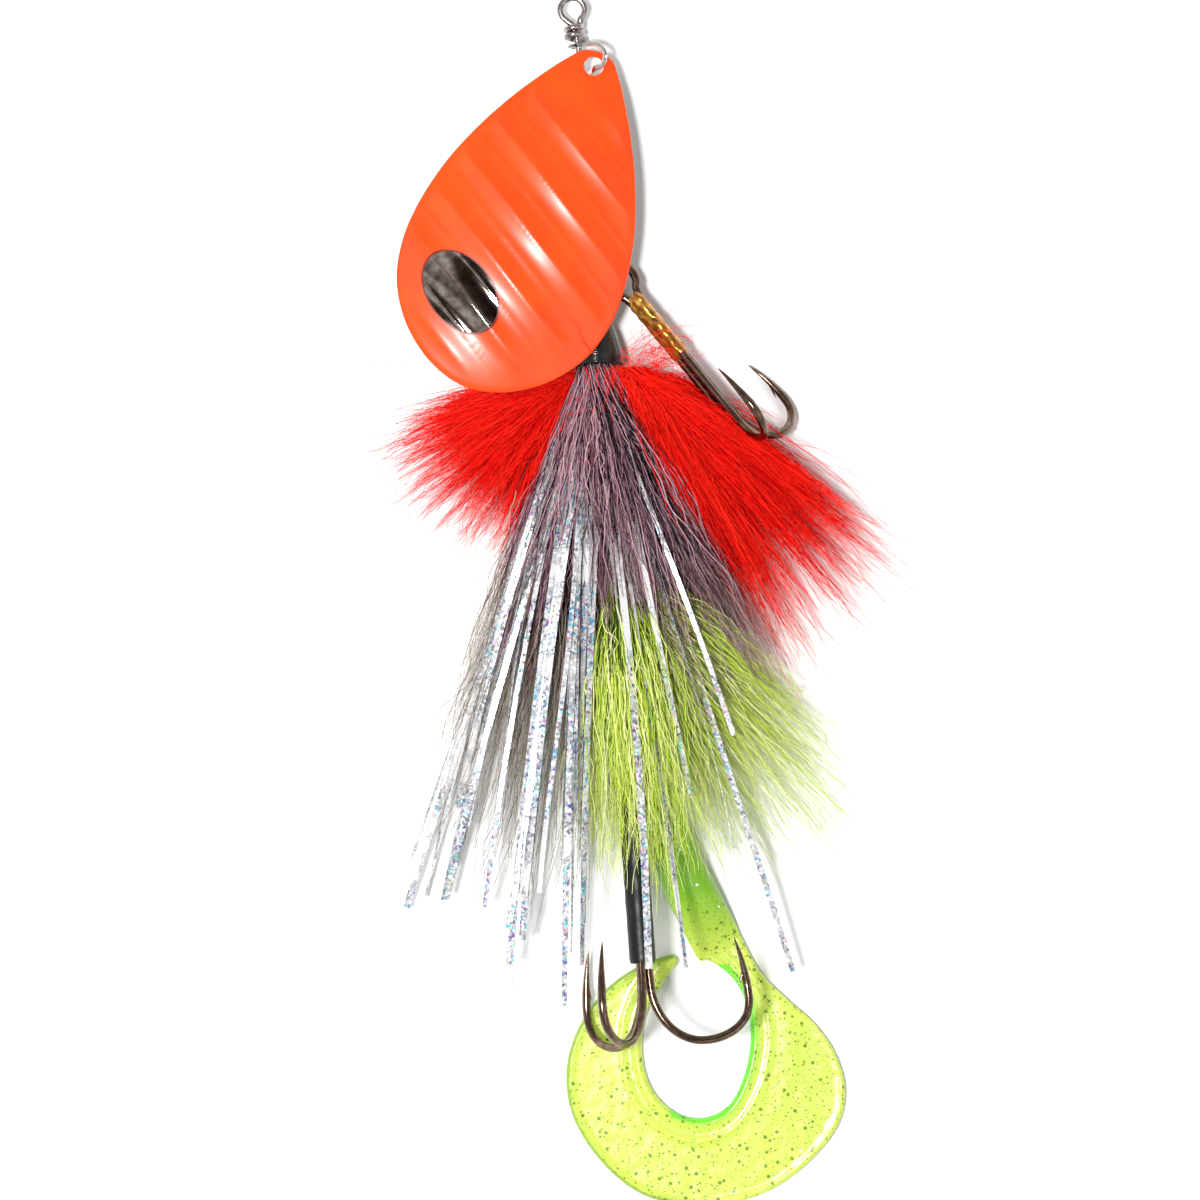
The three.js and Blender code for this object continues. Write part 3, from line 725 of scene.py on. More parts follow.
def treble_pieces(name, treble, body, to_lure):
    """A treble's two forged wires: a double hook with the eye, and a single hook."""
    def solid(route, radius, sides):
        return sweep(place(to_lure(route)), circle(sides), radius)

    spread = spread_of(treble)
    single = treble["single"]
    right = way_of(single - 90)
    away = -way_of(single) * spread / 2
    neck = treble["eye_along"] + EYE_NECK
    shank = spread * way_of(single - 120).dot(right)
    angle = np.radians(np.linspace(-58, 238, 15))
    eye = np.stack([treble["eye_across"] * np.cos(angle), -treble["eye_along"] * np.sin(angle)], -1)
    flat = np.concatenate([[(shank, neck)], eye, [(-shank, neck)]])
    eye_path = flat[:, :1] * right + flat[:, 1:] * (0, 1, 0) + away
    one, other = hook_path(treble, single - 120), hook_path(treble, single + 120)
    double = smooth(np.concatenate([one[::-1], eye_path, other]), 420)
    top = way_of(single) * spread + np.array([0, neck, 0])
    alone = smooth(np.concatenate([[top], hook_path(treble, single)]), 240)
    for kind, path, ends in (("double", double, [double, double[::-1]]), ("single", alone, [alone])):
        shapes = [solid(path, needle(path, treble["wire"], len(ends) == 2), 18)]
        shapes += [solid(*barb(end, treble), 10) for end in ends]
        add(f"{name}_{kind}_forged", joined(shapes), bronze, body, f"{name}_{kind}")


def on_front_treble(points):
    return moved(points, FRONT_EYE, FRONT_TURN, FRONT_RISE)


def on_rear_treble(points):
    return on_rear(np.asarray(points) + (0, REAR_EYE_DOWN, 0))


def blurred(row, kernel):
    """Values round a closed row, each blended with its neighbours."""
    return np.convolve(np.tile(row, 3), kernel, "same")[len(row):2 * len(row)]


def front_braze():
    """Brazing metal run between the three shank wires, lumpy and thin at its ends."""
    steps, sides = 70, 48
    along = np.linspace(4.3, 20.5, steps)
    angle = 2 * math.pi * np.arange(sides) / sides
    lobes = 1.76 + 0.30 * np.cos(3 * (angle - math.radians(FRONT_TREBLE["single"])))
    lumps = rng.normal(0, 1, (steps, sides))
    for axis, count in ((0, 9), (1, 5)):
        lumps = np.apply_along_axis(blurred, axis, lumps, np.hanning(count + 2))
    lumps *= 0.09 / lumps.std()
    end = np.clip(np.minimum(along - along[0], along[-1] - along) / 1.8, 0, 1)
    radius = lobes * (0.80 + 0.20 * np.sqrt(end))[:, None] + lumps * end[:, None]
    rings = np.stack([radius * np.cos(angle), np.broadcast_to(along[:, None], radius.shape),
                      radius * np.sin(angle)], -1)
    add("front_braze", skin(place(on_front_treble(rings))[None]), gold, "front_treble")


def split_ring():
    turns, pitch, steps = 1.75, 0.85, 160
    t = np.linspace(0, 1, steps)
    angle = 2 * math.pi * turns * t
    points = np.stack([RING_R * np.cos(angle), -pitch * (t - 0.5) * turns, RING_R * np.sin(angle)], -1)
    route = moved(points, RING_CENTRE, -math.atan2(1.0, 5.7))
    shape = sweep(place(route), circle(10), RING_WIRE_R)
    add("split_ring_fine", shape, stainless, "split_ring", "split_ring")


# ---- rear wire and what is tied to it ----
def rear_wire():
    route = looped_wire(REAR_TOP_LOOP, REAR_END_LOOP)
    stood = route[:, [2, 1, 0]] * (1, 1, -1)
    add("rear_wire_fine", sweep(place(on_rear(stood)), circle(14), WIRE_R), stainless, "rear_section",
        "rear_wire")


def wound(outside, bore, turns):
    """A profile wound with thread: rounded turns over an outline."""
    outline = smooth(outside, turns * 8)
    outline[:, 0] += 0.05 * np.abs(np.sin(math.pi * np.arange(len(outline)) / 8))
    return np.concatenate([outline, bore[::-1]])


def thread_pieces():
    head = wound([(2.9, 61.3), (3.2, 63), (4.3, 67), (5.0, 70.5), (4.9, 72)],
                 [(2.4, 61.3), (2.4, 66.2), (1.0, 67.2), (1.0, 72)], 30)
    band = wound([(1.6, 111), (2.2, 112), (2.3, 114.4), (1.8, 115.4)], [(1.0, 111), (1.0, 115.4)], 12)
    add("thread_head_wound", lathe(head, 48, on_rear), black_thread, "rear_section", "thread_head")
    add("thread_band_wound", lathe(band, 40, on_rear), black_thread, "rear_section", "thread_band")


def shrink_tube():
    """The tube over the tail hook's eye. It starts 7 mm higher up the wire than its CAD node."""
    start, end, bore = 157.5, 192, 2.15
    down = np.linspace(start, end, 90)
    bulge = 0.55 * hump(down, 160.5, 2.6)
    ripple = 0.05 * np.sin(down * 1.3) * np.exp(-(down - 175) ** 2 / 90)
    radius = 2.52 + 0.12 * (down - start) / 34.5 + (bulge + ripple)
    radius[-3:] -= (0.02, 0.07, 0.18)
    profile = np.concatenate([np.stack([radius, down], -1), [(bore, end), (bore, start)]])
    add("shrink_tube_fine", lathe(profile, 48, on_rear), rubber, "rear_section", "shrink_tube")


# ---- hair, feathers and ribbons ----
def wander(count, steps, size, cycles):
    """A smooth random sideways drift of each strand, growing from nothing at its root."""
    t = np.linspace(0, 1, steps)
    drift = np.zeros((count, steps, 3))
    for k in range(3):
        for cycle in cycles:
            phase = rng.uniform(0, 2 * math.pi, (count, 1))
            amount = rng.normal(0, 1, (count, 1)) * size / cycle**0.7
            drift[..., k] += amount * (np.sin(2 * math.pi * cycle * t + phase) - np.sin(phase)) * t**0.8
    return drift


def bent(roots, middles, tips, steps):
    """Quadratic curves from roots to tips, pulled towards the middles."""
    t = np.linspace(0, 1, steps)[None, :, None]
    return roots[:, None] * (1 - t) ** 2 + 2 * middles[:, None] * t * (1 - t) + tips[:, None] * t**2


def tapered(count, steps, radius, fine=0.25):
    """Radii of strands, thinning over their last part to a share of their width."""
    t = np.linspace(0, 1, steps)
    body = np.minimum(1, 0.75 + t) * np.clip((1 - t) / 0.45, fine, 1)
    return radius * rng.uniform(0.7, 1.25, (count, 1)) * body[None]


def along(guides, start, end, steps):
    """Parts of guide curves, from share start to share end of each, with steps points."""
    t = start[:, None] + (end - start)[:, None] * np.linspace(0, 1, steps)
    spot = t * (guides.shape[1] - 1)
    i = np.minimum(spot.astype(int), guides.shape[1] - 2)
    row = np.arange(len(guides))[:, None]
    part = (spot - i)[..., None]
    return guides[row, i] * (1 - part) + guides[row, i + 1] * part, t


def clumps(guides, each, spread, close, steps, start=(0, 0), end=(0.8, 1)):
    """Strands gathered round guide curves: spread apart in their middles and drawn together at their tips."""
    guides = np.repeat(guides, each, axis=0)
    count = len(guides)
    path, t = along(guides, rng.uniform(*start, count), rng.uniform(*end, count) ** 0.8, steps)
    offset = rng.normal(0, 1, (count, 1, 3)) * spread * (1, 1, 0.9)
    swell = np.clip(t / 0.35, 0.12, 1) * (close + (1 - close) * np.clip((1 - t) / 0.6, 0, 1) ** 0.8)
    return path + offset * swell[..., None]


def fan(root, root_r, edge, count, bulge, sag, short, flare=0.45):
    """Guide curves from a round root to places along an edge line, arched up by bulge on the way.

    flare is the share of the way across that is gone halfway down.
    """
    u = (np.arange(count) + rng.uniform(0, 1, count)) / count
    line = smooth(edge, 400)
    tips = line[(u * 399).astype(int)] + rng.normal(0, 1, (count, 3)) * (1.2, 1.2, 0.5)
    tips[:, :2] = root[:2] + (tips[:, :2] - root[:2]) * (1 - np.abs(rng.normal(0, short, (count, 1))))
    angle = rng.uniform(0, 2 * math.pi, count)
    size = root_r * np.sqrt(rng.uniform(0, 1, count))
    roots = root + np.stack([size * np.cos(angle), rng.uniform(-1, 1, count), size * np.sin(angle)], -1)
    layer = np.sin(angle)[:, None] * (0, 0, 1)
    tips = tips + layer * 1.8
    middles = roots + (tips - roots) * (flare, 0.5, 0.5) + (0, 0, bulge) + layer * 2.2
    middles[:, 0] += sag * rng.normal(0, 1, count)
    return bent(roots, middles, tips, 40)


def off_table(path, lowest=0.3):
    """Paths whose every point is kept at least that high over the table."""
    path[..., 2] = np.maximum(path[..., 2], lowest)
    return path


def hair(name, path, radius, tones, crinkle, cut=1, tip_tones=(), fine=0.25):
    """Strands shared out among tones; past the cut, a share of their length, they take the tip tones."""
    count, steps = path.shape[:2]
    path = off_table(path + wander(count, steps, crinkle, (1, 2.3, 5, 8)))
    width = tapered(count, steps, radius, fine)
    group = rng.integers(0, len(tones), count)
    last = int(steps * cut) + 1

    def bundle(label, chosen, stretch, tone):
        shape = strands(place(path[chosen, stretch]), width[chosen, stretch])
        return add(f"{name}_{label}", shape, tone, "rear_section", crease=None)

    pieces = [bundle("abcdef"[k], group == k, slice(last), tone) for k, tone in enumerate(tones)]
    for k, tone in enumerate(tip_tones):
        chosen = np.arange(count) % len(tip_tones) == k
        bundle(f"tips_{'abcdef'[k]}", chosen, slice(last - 1, None), tone)
    return pieces[0]


def mauve_bucktail():
    root = np.array([-0.8, 72.5, 6.8])
    left_edge = [(-35, 146, 5), (-42, 165, 5), (-33, 182, 7), (-17, 187, 10), (-7, 180, 13)]
    right_edge = [(-6, 146, 16), (3, 146, 17), (13, 150, 16), (24, 152, 13), (33, 147, 10), (34, 134, 9)]
    short_edge = [(-24, 120, 8), (-12, 126, 12), (0, 127, 15), (12, 127, 13), (22, 121, 9)]
    left = fan(root, 3.6, left_edge, 210, 5.5, 1.8, 0.2)
    right = fan(root, 3.6, right_edge, 200, 6.0, 1.5, 0.2)
    short = fan(root, 3.6, short_edge, 130, 4.5, 1.0, 0.16)
    steps = 44
    left = clumps(left, 4, 1.6, 0.95, steps, end=(0.6, 1))
    long_hair = hair("bucktail_mauve", left, 0.1, mauve_tones, 0.95, 0.62, taupe_tones, 0.5)
    right = clumps(right, 5, 1.3, 0.5, steps, end=(0.6, 1))
    hair("bucktail_mauve_right", right, 0.11, mauve_tones, 0.85, 0.8, mauve_tips, 0.4)
    hair("bucktail_mauve_top", clumps(short, 5, 1.3, 0.6, steps), 0.11, mauve_tones, 0.8, fine=0.45)
    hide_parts("bucktail_mauve")


def chartreuse_bucktail():
    root = np.array([0.5, 112.0, 13.0])
    low_edge = [(-14, 168, 11), (-8, 178, 13), (-2, 181, 19), (6, 182, 20), (13, 178, 17), (22, 178, 11)]
    side_edge = [(24, 182, 6), (33, 181, 5), (45, 180, 4), (50, 168, 4), (46, 155, 5), (38, 143, 6)]
    low = fan(root, 2.4, low_edge, 190, 5.5, 1.6, 0.2)
    side = fan(root, 2.4, side_edge, 130, 2.5, 2.4, 0.2)
    low = clumps(low, 5, 2.0, 0.7, 36, end=(0.7, 1))
    shown = hair("bucktail_chartreuse", low, 0.1, chartreuse_tones, 0.9, 0.35, chartreuse_tips, 0.5)
    side = clumps(side, 5, 1.8, 0.5, 36, end=(0.55, 1))
    hair("bucktail_chartreuse_side", side, 0.1, chartreuse_tones, 0.8, 0.3, chartreuse_tips, 0.5)
    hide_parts("bucktail_chartreuse")


def marabou(name, root, root_r, edge, clump_count, each, bulge, flare):
    """A marabou plume: clumps of fine barbs that start all along their quills and end in soft spikes."""
    root = np.array(root)
    guides = fan(root, root_r, edge, clump_count, bulge, 1.2, 0.12, flare)
    body = clumps(guides, each, 1.5, 0.3, 16, start=(0, 0.5), end=(0.25, 0.62))
    shown = hair(f"{name}_barbs", body, 0.065, marabou_tones, 0.4, fine=0.35)
    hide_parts(name)
    spikes = clumps(guides, 10, 0.8, 0.06, 30, start=(0.1, 0.5), end=(0.5, 0.98))
    loners = fan(root, root_r, edge, 2 * clump_count, bulge + 1, 4.0, 0.16, flare)
    loners = clumps(loners, 1, 1.8, 1.3, 30, start=(0.1, 0.5), end=(0.85, 1.08))
    hair(f"{name}_spikes", np.concatenate([spikes, loners]), 0.08, marabou_tones, 0.5, fine=0.4)
    hair(f"{name}_quills", guides[::12], 0.18, marabou_tones[:1], 0.2)


LEFT_PLUME_EDGE = [
    (-13, 110, 4), (-20, 112, 3.5), (-28, 110, 3), (-37, 106, 3), (-45, 100, 3), (-47, 90, 3),
    (-45, 82, 3.5), (-38, 76, 4),
]
RIGHT_PLUME_EDGE = [
    (21, 126, 5), (29, 135, 5), (38, 138, 4.5), (48, 134, 4), (56, 125, 4), (58, 115, 4), (49, 107, 4),
    (38, 98, 2.5), (29, 87, 1.5),
]
# Root and tip of each long fibre that left the plumes.
STRAY_REDS = [
    ((-4, 73, 6), (-48, 59.3, 4)), ((-5, 74, 5), (-49, 74, 3)), ((-5, 74, 5), (-50, 80, 3)),
    ((-6, 75, 5), (-50, 91, 2)), ((-6, 75, 5), (-47, 97, 2)), ((8, 76, 9), (59, 103, 5)),
    ((9, 78, 9), (60.5, 112, 4)), ((9, 78, 9), (59, 122, 3)), ((9, 80, 8), (44, 142, 3)),
    ((0, 70, 10), (-6, 62, 16)), ((8, 76, 8), (60, 117, 4)), ((8, 77, 8), (57, 128, 3)),
    ((8, 78, 8), (51, 137, 3)), ((8, 78, 8), (37, 145, 4)), ((8, 76, 8), (53, 99, 4)),
    ((-5, 74, 5), (-42, 108, 3)), ((-5, 74, 5), (-31, 117, 3)), ((-5, 73, 5), (-47, 67, 4)),
]


def stray_reds():
    """Single long fibres that left the plumes, and a few laid over the top of the mauve hair."""
    roots, tips = (np.array(side, float) for side in zip(*STRAY_REDS))
    over = rng.uniform((-3, 72, 10), (6, 74, 11), (46, 3))
    over_tips = rng.uniform((-6, 78, 13), (14, 102, 15), (46, 3))
    roots, tips = np.concatenate([roots, over]), np.concatenate([tips, over_tips])
    middles = roots + (tips - roots) * 0.5 + rng.normal(0, 1, roots.shape) * (2.5, 2.5, 0.8)
    hair("marabou_strays", bent(roots, middles, tips, 40), 0.07, marabou_tones[:2], 1.0, fine=0.6)


def curls():
    """Loose curls of marabou caught round the front hook's shank."""
    steps, found = 60, []
    for _ in range(80):
        start = np.array([rng.uniform(4, 13), rng.uniform(69, 76), rng.uniform(7, 11)])
        end = np.array([rng.uniform(6, 22), rng.uniform(63, 76), rng.uniform(6, 14)])
        t = np.linspace(0, 1, steps)[:, None]
        turns, size = rng.uniform(0.4, 1.2), rng.uniform(0.8, 3.4)
        angle = 2 * math.pi * (turns * t[:, 0] + rng.uniform())
        loop = np.stack([np.cos(angle), np.sin(angle), 0.4 * np.sin(angle * 0.7)], -1) * size * np.sqrt(t)
        found.append(start + (end - start) * t + loop)
    hair("marabou_curls", np.stack(found), 0.06, marabou_tones[:2], 0.3)


RIBBON_TIPS = [
    (-45.3, 177.5), (-42, 177.1), (-39.2, 177.3), (-36.5, 170), (-31, 176), (-29.5, 162), (-26, 190),
    (-24, 183.5), (-22.5, 184.4), (-26, 196.3), (-20, 176), (-16.1, 198.7), (-14, 187), (-12.5, 184),
    (-11.5, 171), (-10.3, 190), (-18, 154), (-34, 158), (-16, 192), (-21, 165), (-13, 178),
    (0.4, 191.2), (8.5, 191.9), (9.8, 193), (28.2, 195.3), (21.7, 147.7), (12, 158), (3, 166), (17, 170),
]


def ribbons():
    """Flat holographic ribbons over the hair, cut square, each with a slow twist of its own."""
    steps, shapes = 48, []
    section = np.array([(1, 1), (-1, 1), (-1, -1), (1, -1)], float)
    doubles = [(x + rng.normal(0, 2.0), down - rng.uniform(2, 14)) for x, down in RIBBON_TIPS[:13:2]]
    for x, down in RIBBON_TIPS + doubles:
        side = x / 46
        root = np.array([
            rng.uniform(-2.6, 1.0) + 2.0 * side, 73 + rng.uniform(0, 2), 7.5 + rng.uniform(-0.6, 0.8),
        ])
        tip_up = max(2.0, rear_up(down) + 4.5 - 0.012 * x * x - 0.05 * max(0, down - 150))
        tip = np.array([x, down, tip_up + rng.normal(0, 0.8)])
        middle = root + (tip - root) * (0.46, 0.36, 0.36) + (0, 0, rng.uniform(8.5, 14.0))
        path = bent(root[None], middle[None], tip[None], steps)
        path = off_table(path + wander(1, steps, 0.5, (0.5, 1.0)), 1.0)
        t = np.linspace(0, 1, steps)
        twist = rng.normal(0, 0.45) + rng.normal(0, 0.9) * t
        x_half, y_half = (section * (rng.uniform(0.46, 0.8), 0.03)).T
        c, s = np.cos(twist)[:, None], np.sin(twist)[:, None]
        turned = np.stack([x_half * c - y_half * s, x_half * s + y_half * c], -1)
        shapes.append(sweep(place(path[0]), turned, 1.0, up=(0, 0, 1.0)))
    add("flash_ribbons", joined(shapes), film, "rear_section", "flash_skirt")


def stray_hairs():
    """A few long loose hairs that left the collar."""
    tips = np.array([(-45.6, 203.9, 3), (-39, 201, 2), (-32, 196, 4), (-49, 165.6, 2), (-51, 150, 3),
                     (0.9, 199.3, 9), (40, 176, 3), (-24, 204, 3), (22, 190, 6), (-30, 207, 2)])
    count = len(tips)
    roots = np.stack([tips[:, 0] * 0.25, np.full(count, 110.0), np.full(count, 13.0)], -1)
    middles = roots + (tips - roots) * (0.35, 0.55, 0.6)
    path = off_table(bent(roots, middles, tips, 60) + wander(count, 60, 1.3, (1, 2, 4)))
    shape = strands(place(path), tapered(count, 60, 0.07))
    add("stray_hairs", shape, taupe_tones[0], "rear_section", crease=None)


# ---- trailer ----
GRUB_STATIONS = [
    (0.1, 152.2, 5.3, 2.2, 2.2), (0.9, 153.8, 5.3, 4.4, 4.4), (2.8, 158, 5.3, 5.2, 5.2),
    (6, 166, 5.3, 5.2, 5.2), (9, 174.5, 5.0, 5.1, 4.8), (12.4, 182.5, 3.6, 5.1, 3.4),
    (15.2, 189.4, 1.5, 5.1, 1.4), (16, 191.5, 1.1, 4.8, 1.05),
]
TAIL_OUTER = [
    (20.15, 188.1), (23.8, 196.2), (28.8, 202), (33.8, 207.2), (37.4, 213.2), (39, 220.4), (37.4, 227.4),
    (31, 234.8), (21.4, 240.6), (8.6, 242.6), (-3.8, 239), (-12.2, 230.8), (-16.8, 221), (-16.8, 211.6),
    (-13.4, 203.6), (-7.4, 196.8), (0, 192.6), (6.4, 191),
]
TAIL_INNER = [
    (10.8, 191.95), (14, 193.4), (17.6, 196.6), (20, 201.6), (20.6, 208), (18.8, 216.2), (15, 222.4),
    (9.8, 224.4), (4.6, 223), (0.2, 218), (-1.3, 210.6), (0, 203), (3.8, 197), (7.4, 192.6),
]


def keeper():
    down, up = KEEPER_EYE
    angle = np.radians(np.linspace(-50, 250, 13))
    eye = np.stack([KEEPER_EYE_R * np.cos(angle), np.full(13, down), up + KEEPER_EYE_R * np.sin(angle)], -1)
    pin = [(-0.2, down, 8.6), (-0.4, down, 6.8), (-0.1, 151.7, 5.5), (0.8, 153.8, 5.3), (2.8, 157.4, 5.3)]
    route = smooth(np.concatenate([eye, pin]), 140)
    add("grub_keeper_fine", sweep(place(route), circle(10), KEEPER_WIRE_R), stainless, "grub", "grub_keeper")


def even(points, count):
    """count evenly spaced points along a smooth curve through the given ones."""
    line = smooth(points, 600)
    run = run_of(line)
    return at_distances(line, run, np.linspace(0, run[-1], count))


def tail_sheet():
    """The curly tail: a band between its outer and inner edges, with a rim bead and an inner rib."""
    rows, columns = 260, 44
    outer, inner = even(TAIL_OUTER, rows), even(TAIL_INNER, rows)
    w = np.linspace(0, 1, columns)
    band = outer[:, None] * (1 - w[:, None]) + inner[:, None] * w[:, None]
    width = np.linalg.norm(outer - inner, axis=1)[:, None]
    from_outer, from_inner = width * w, width * (1 - w)
    edge = np.minimum(from_outer, from_inner)
    rounded = np.sqrt(np.clip(1 - (1 - np.clip(edge / 0.9, 0, 1)) ** 2, 0, 1))
    rim = 0.35 * hump(from_outer, 1.0, 0.5)
    rib = 0.6 * hump(from_inner, 1.3, 0.8) + 0.35 * hump(from_inner, 4.6, 0.5)
    near_root = np.clip(1 - np.linspace(0, 1, rows)[:, None] * 3, 0, 1)
    lobe = 0.5 * hump(from_inner, 9, 3.0) * near_root
    top = TAIL_THICK * 0.5 + (TAIL_THICK * 0.42 + rim + rib + lobe) * rounded
    under = TAIL_THICK * 0.5 - TAIL_THICK * 0.5 * rounded
    ring = np.concatenate([
        np.concatenate([band, top[..., None]], -1),
        np.concatenate([band, under[..., None]], -1)[:, -2:0:-1],
    ], 1)
    return facing_out(skin(place(ring)[None]))


def grub_core():
    """The trailer's body, round at its nose and flat where the tail begins."""
    stations = smooth(GRUB_STATIONS, 90)
    path, size = stations[:, :3], stations[:, 3:]
    return facing_out(sweep(place(path), circle(48), size, up=(0, 0, 1.0)))


def remeshed(shape, voxel):
    """One clean surface round overlapping closed shapes."""
    rough = add("remesh_source", shape, orange_paint, None)
    remesh = rough.modifiers.new("remesh", "REMESH")
    remesh.mode = "VOXEL"
    remesh.voxel_size = voxel * MM
    soften = rough.modifiers.new("soften", "SMOOTH")
    soften.factor = 0.5
    soften.iterations = 5
    graph = bpy.context.evaluated_depsgraph_get()
    mesh = bpy.data.meshes.new_from_object(rough.evaluated_get(graph))
    bpy.data.objects.remove(rough)
    mesh.materials.clear()
    mesh.shade_smooth()
    return mesh


def near(points, line):
    """Distance of each point (x, down) from the nearest point of a line."""
    best = np.full(len(points), np.inf)
    for spot in even(line, 300):
        best = np.minimum(best, np.hypot(points[:, 0] - spot[0], points[:, 1] - spot[1]))
    return best


def grub():
    """The trailer as one moulding, tinted along its rib and its rim; its body is painted a deeper green than
    the tail as painted shade.
    """
    mesh = remeshed(joined([grub_core(), tail_sheet()]), 0.38)
    mesh.name = "grub_moulding"
    co = np.empty(len(mesh.vertices) * 3)
    mesh.vertices.foreach_get("co", co)
    co = co.reshape(-1, 3)
    flat = np.stack([(co[:, 0] - SHAFT_X) / MM, (TIE_Y - co[:, 1]) / MM], -1)
    light, shaded_deep = np.array([0.53, 0.66, 0.09]), np.array([0.18, 0.42, 0.008])
    rib, rim = np.array([0.13, 0.62, 0.02]), np.array([0.22, 0.36, 0.03])
    # Painted shade: the body ahead of the tail fades into a deeper green than the tail.
    body = np.clip((192 - flat[:, 1]) / 14, 0, 1)[:, None]
    colour = light * (1 - body) + shaded_deep * body
    inner = np.exp(-(near(flat, TAIL_INNER[:9]) / 1.5) ** 4)[:, None] * (flat[:, 1:] > 194)
    outer = np.exp(-(near(flat, TAIL_OUTER[9:]) / 1.0) ** 4)[:, None]
    colour = colour * (1 - inner) + rib * inner
    colour = colour * (1 - outer) + rim * outer
    tint = mesh.color_attributes.new("tint", "FLOAT_COLOR", "POINT")
    tint.data.foreach_set("color", np.concatenate([colour, np.ones((len(co), 1))], 1).ravel())
    mesh.materials.append(plastic)
    piece = put("grub_moulding", mesh)
    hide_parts("grub_body", "grub_tail")
    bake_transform(piece)


# ---- stage ----
# Places that come lowest when their bodies hang or turn below the table.
LOW_SPOTS = [("grub_tail", (8.6, 242.6, 0)), ("grub_tail", (21.4, 240.6, 0)), ("blade", (-27, 74.4, 13))]


def stage():
    """A plain floor, just under the table-rest face. It gives way to whatever hangs lower at a pose."""
    floor_mesh = bpy.data.meshes.new("floor")
    floor_mesh.from_pydata([(-3, -3, 0), (3, -3, 0), (3, 3, 0), (-3, 3, 0)], [], [(0, 1, 2, 3)])
    floor_mesh.materials.append(shader("floor", "none", (0.86, 0.86, 0.86), 0.9))
    floor = put("floor", floor_mesh)
    floor.location.z = -0.1 * MM
    for body, spot in LOW_SPOTS:
        marker = put(f"low_spot_{body}", None)
        marker.location = place(spot)
        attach(marker, body)
        lower = floor.constraints.new("FLOOR")
        lower.target = marker
        lower.floor_location = "FLOOR_NEGATIVE_Z"
    bpy.context.scene.view_settings.view_transform = "Standard"


def studio_walls():
    """Surroundings that are dark overhead and bright lower down, so that metal shows dark and light bands."""
    world = bpy.data.worlds.new("studio")
    world.use_nodes = True
    background = world.node_tree.nodes["Background"]
    background.inputs["Strength"].default_value = 0.55
    where = node(world, "ShaderNodeTexCoord")
    height = node(world, "ShaderNodeSeparateXYZ")
    link(world, where.outputs["Generated"], height.inputs["Vector"])
    bands = [
        (0.0, (1.0, 1.0, 1.0)), (0.55, (1.0, 1.0, 1.0)), (0.72, (0.3, 0.3, 0.3)), (0.79, (0.9, 0.9, 0.9)),
        (0.86, (0.9, 0.89, 0.88)), (0.905, (0.10, 0.07, 0.06)), (0.99, (0.02, 0.012, 0.01)),
    ]
    link(world, ramp(world, height.outputs["Z"], bands), background.inputs["Color"])
    bpy.context.scene.world = world


def lamp(name, where, size, power, shines=True):
    """A soft box that faces the lure; shines says whether glossy things mirror it."""
    light = bpy.data.lights.new(name, "AREA")
    light.shape = "RECTANGLE"
    light.size, light.size_y = size
    light.energy = power
    holder = put(name, light)
    holder.location = where
    holder.visible_glossy = shines
    holder.rotation_euler = (-Vector(where)).to_track_quat("-Z", "Y").to_euler()


def camera():
    """Straight down over the middle of the view, with the lure turned a little in the frame."""
    view_width, distance, focal = 0.240, 1.0, 150.0
    centre = place([-3.2, 118.8, 10])
    data = bpy.data.cameras.new("camera")
    data.lens = focal
    data.sensor_width = focal * view_width / distance
    data.clip_start = 0.05
    holder = put("camera", data)
    holder.location = centre + (0, 0, distance)
    holder.rotation_euler = (0, 0, -math.atan2(0.0735, 0.9973))
    bpy.context.scene.camera = holder


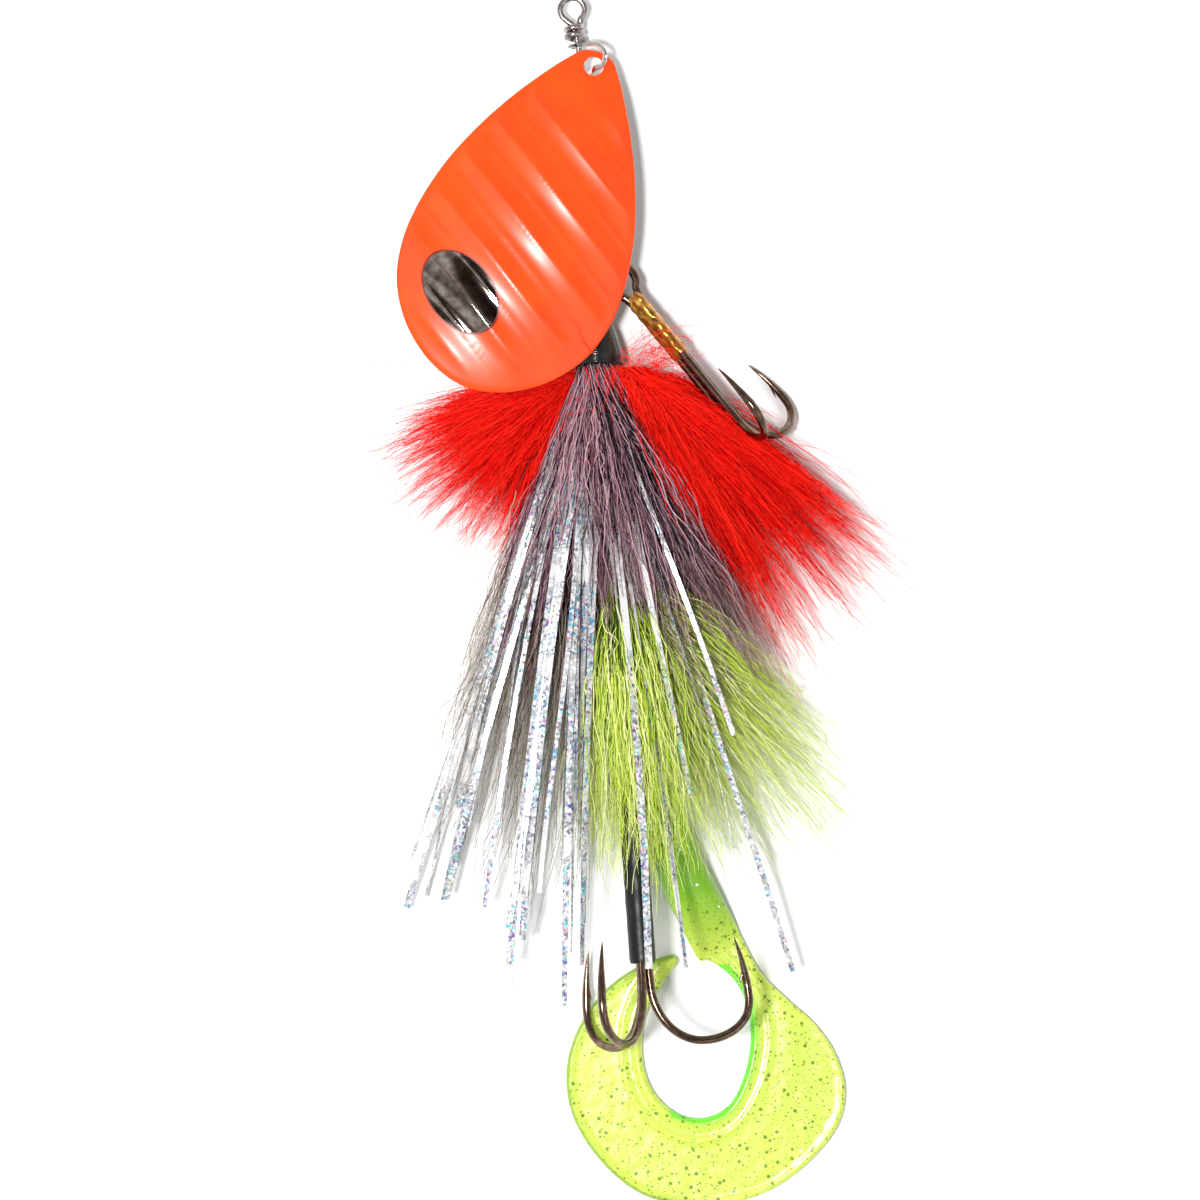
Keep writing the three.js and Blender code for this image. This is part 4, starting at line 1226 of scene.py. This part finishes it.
stainless = stainless_wire()
nickel = polished_nickel()
mirror = mirror_nickel()
brass = polished_brass()
bronze = hook_bronze()
gold = braze_gold()
orange_paint = blade_paint()
rim_red = window_rim()
red_plastic = red_bead_plastic()
black_thread = lacquered_thread()
rubber = shrink_rubber()
film = holographic_film()
plastic = soft_plastic()
marabou_tones = fibres("red_marabou", 0.7, {
    "marabou_bright": (1.0, 0.022, 0.008),
}, Specular_IOR_Level=0.15) + fibres("red_marabou", 0.7, {
    "marabou_red": (0.95, 0.008, 0.004), "marabou_deep": (0.62, 0.002, 0.001),
}, Specular_IOR_Level=0.1)
# The near-black tone is painted shade: dark hairs put where the shade between the mauve hairs falls.
mauve_tones = fibres("mauve_hair", 0.4, {
    "mauve_light": (0.50, 0.30, 0.35), "mauve_mid": (0.30, 0.16, 0.20), "mauve_plum": (0.15, 0.05, 0.07),
}) + fibres("mauve_hair", 0.4, {"mauve_black": (0.008, 0.005, 0.007)}, Specular_IOR_Level=0.2)
mauve_tips = fibres("mauve_hair", 0.4, {
    "mauve_tip_grey": (0.42, 0.30, 0.30), "mauve_tip_brown": (0.22, 0.12, 0.11),
})
taupe_tones = fibres("mauve_hair", 0.45, {"taupe": (0.15, 0.11, 0.08), "taupe_light": (0.42, 0.36, 0.28)})
# The near-black tone is painted shade: dark hairs put where the shade between the hairs falls.
chartreuse_tones = fibres("chartreuse_hair", 0.4, {
    "chartreuse_mid": (0.44, 0.62, 0.015), "chartreuse_deep": (0.13, 0.24, 0.008),
    "chartreuse_dark": (0.025, 0.05, 0.006),
})
# The palest tip tone is a painted highlight on the hair tips.
chartreuse_tips = fibres("chartreuse_hair", 0.4, {
    "chartreuse_pale": (0.90, 0.94, 0.42), "chartreuse_leaf": (0.66, 0.76, 0.13),
    "chartreuse_moss": (0.42, 0.62, 0.02),
})

camera()
shaft_wire()
clevis()
beads()
weight_body()
blade()
blade_window()
split_ring()
treble_pieces("front_treble", FRONT_TREBLE, "front_treble", on_front_treble)
front_braze()
rear_wire()
thread_pieces()
shrink_tube()
treble_pieces("rear_treble", REAR_TREBLE, "rear_section", on_rear_treble)
keeper()
grub()
marabou("marabou_left", (-4, 73, 6.0), 2.5, LEFT_PLUME_EDGE, 130, 34, 1.5, 0.5)
marabou("marabou_right", (6.0, 73.0, 8.0), 3.6, RIGHT_PLUME_EDGE, 170, 38, 5.2, 0.55)
curls()
stray_reds()
mauve_bucktail()
chartreuse_bucktail()
ribbons()
stray_hairs()
stage()
studio_walls()
lamp("key", (-0.9, 0.35, 0.9), (0.6, 0.6), 9, shines=False)
lamp("overhead", (-0.25, -0.04, 1.15), (0.15, 0.15), 14)
lamp("fill", (0.7, -0.5, 1.1), (1.0, 1.0), 3)
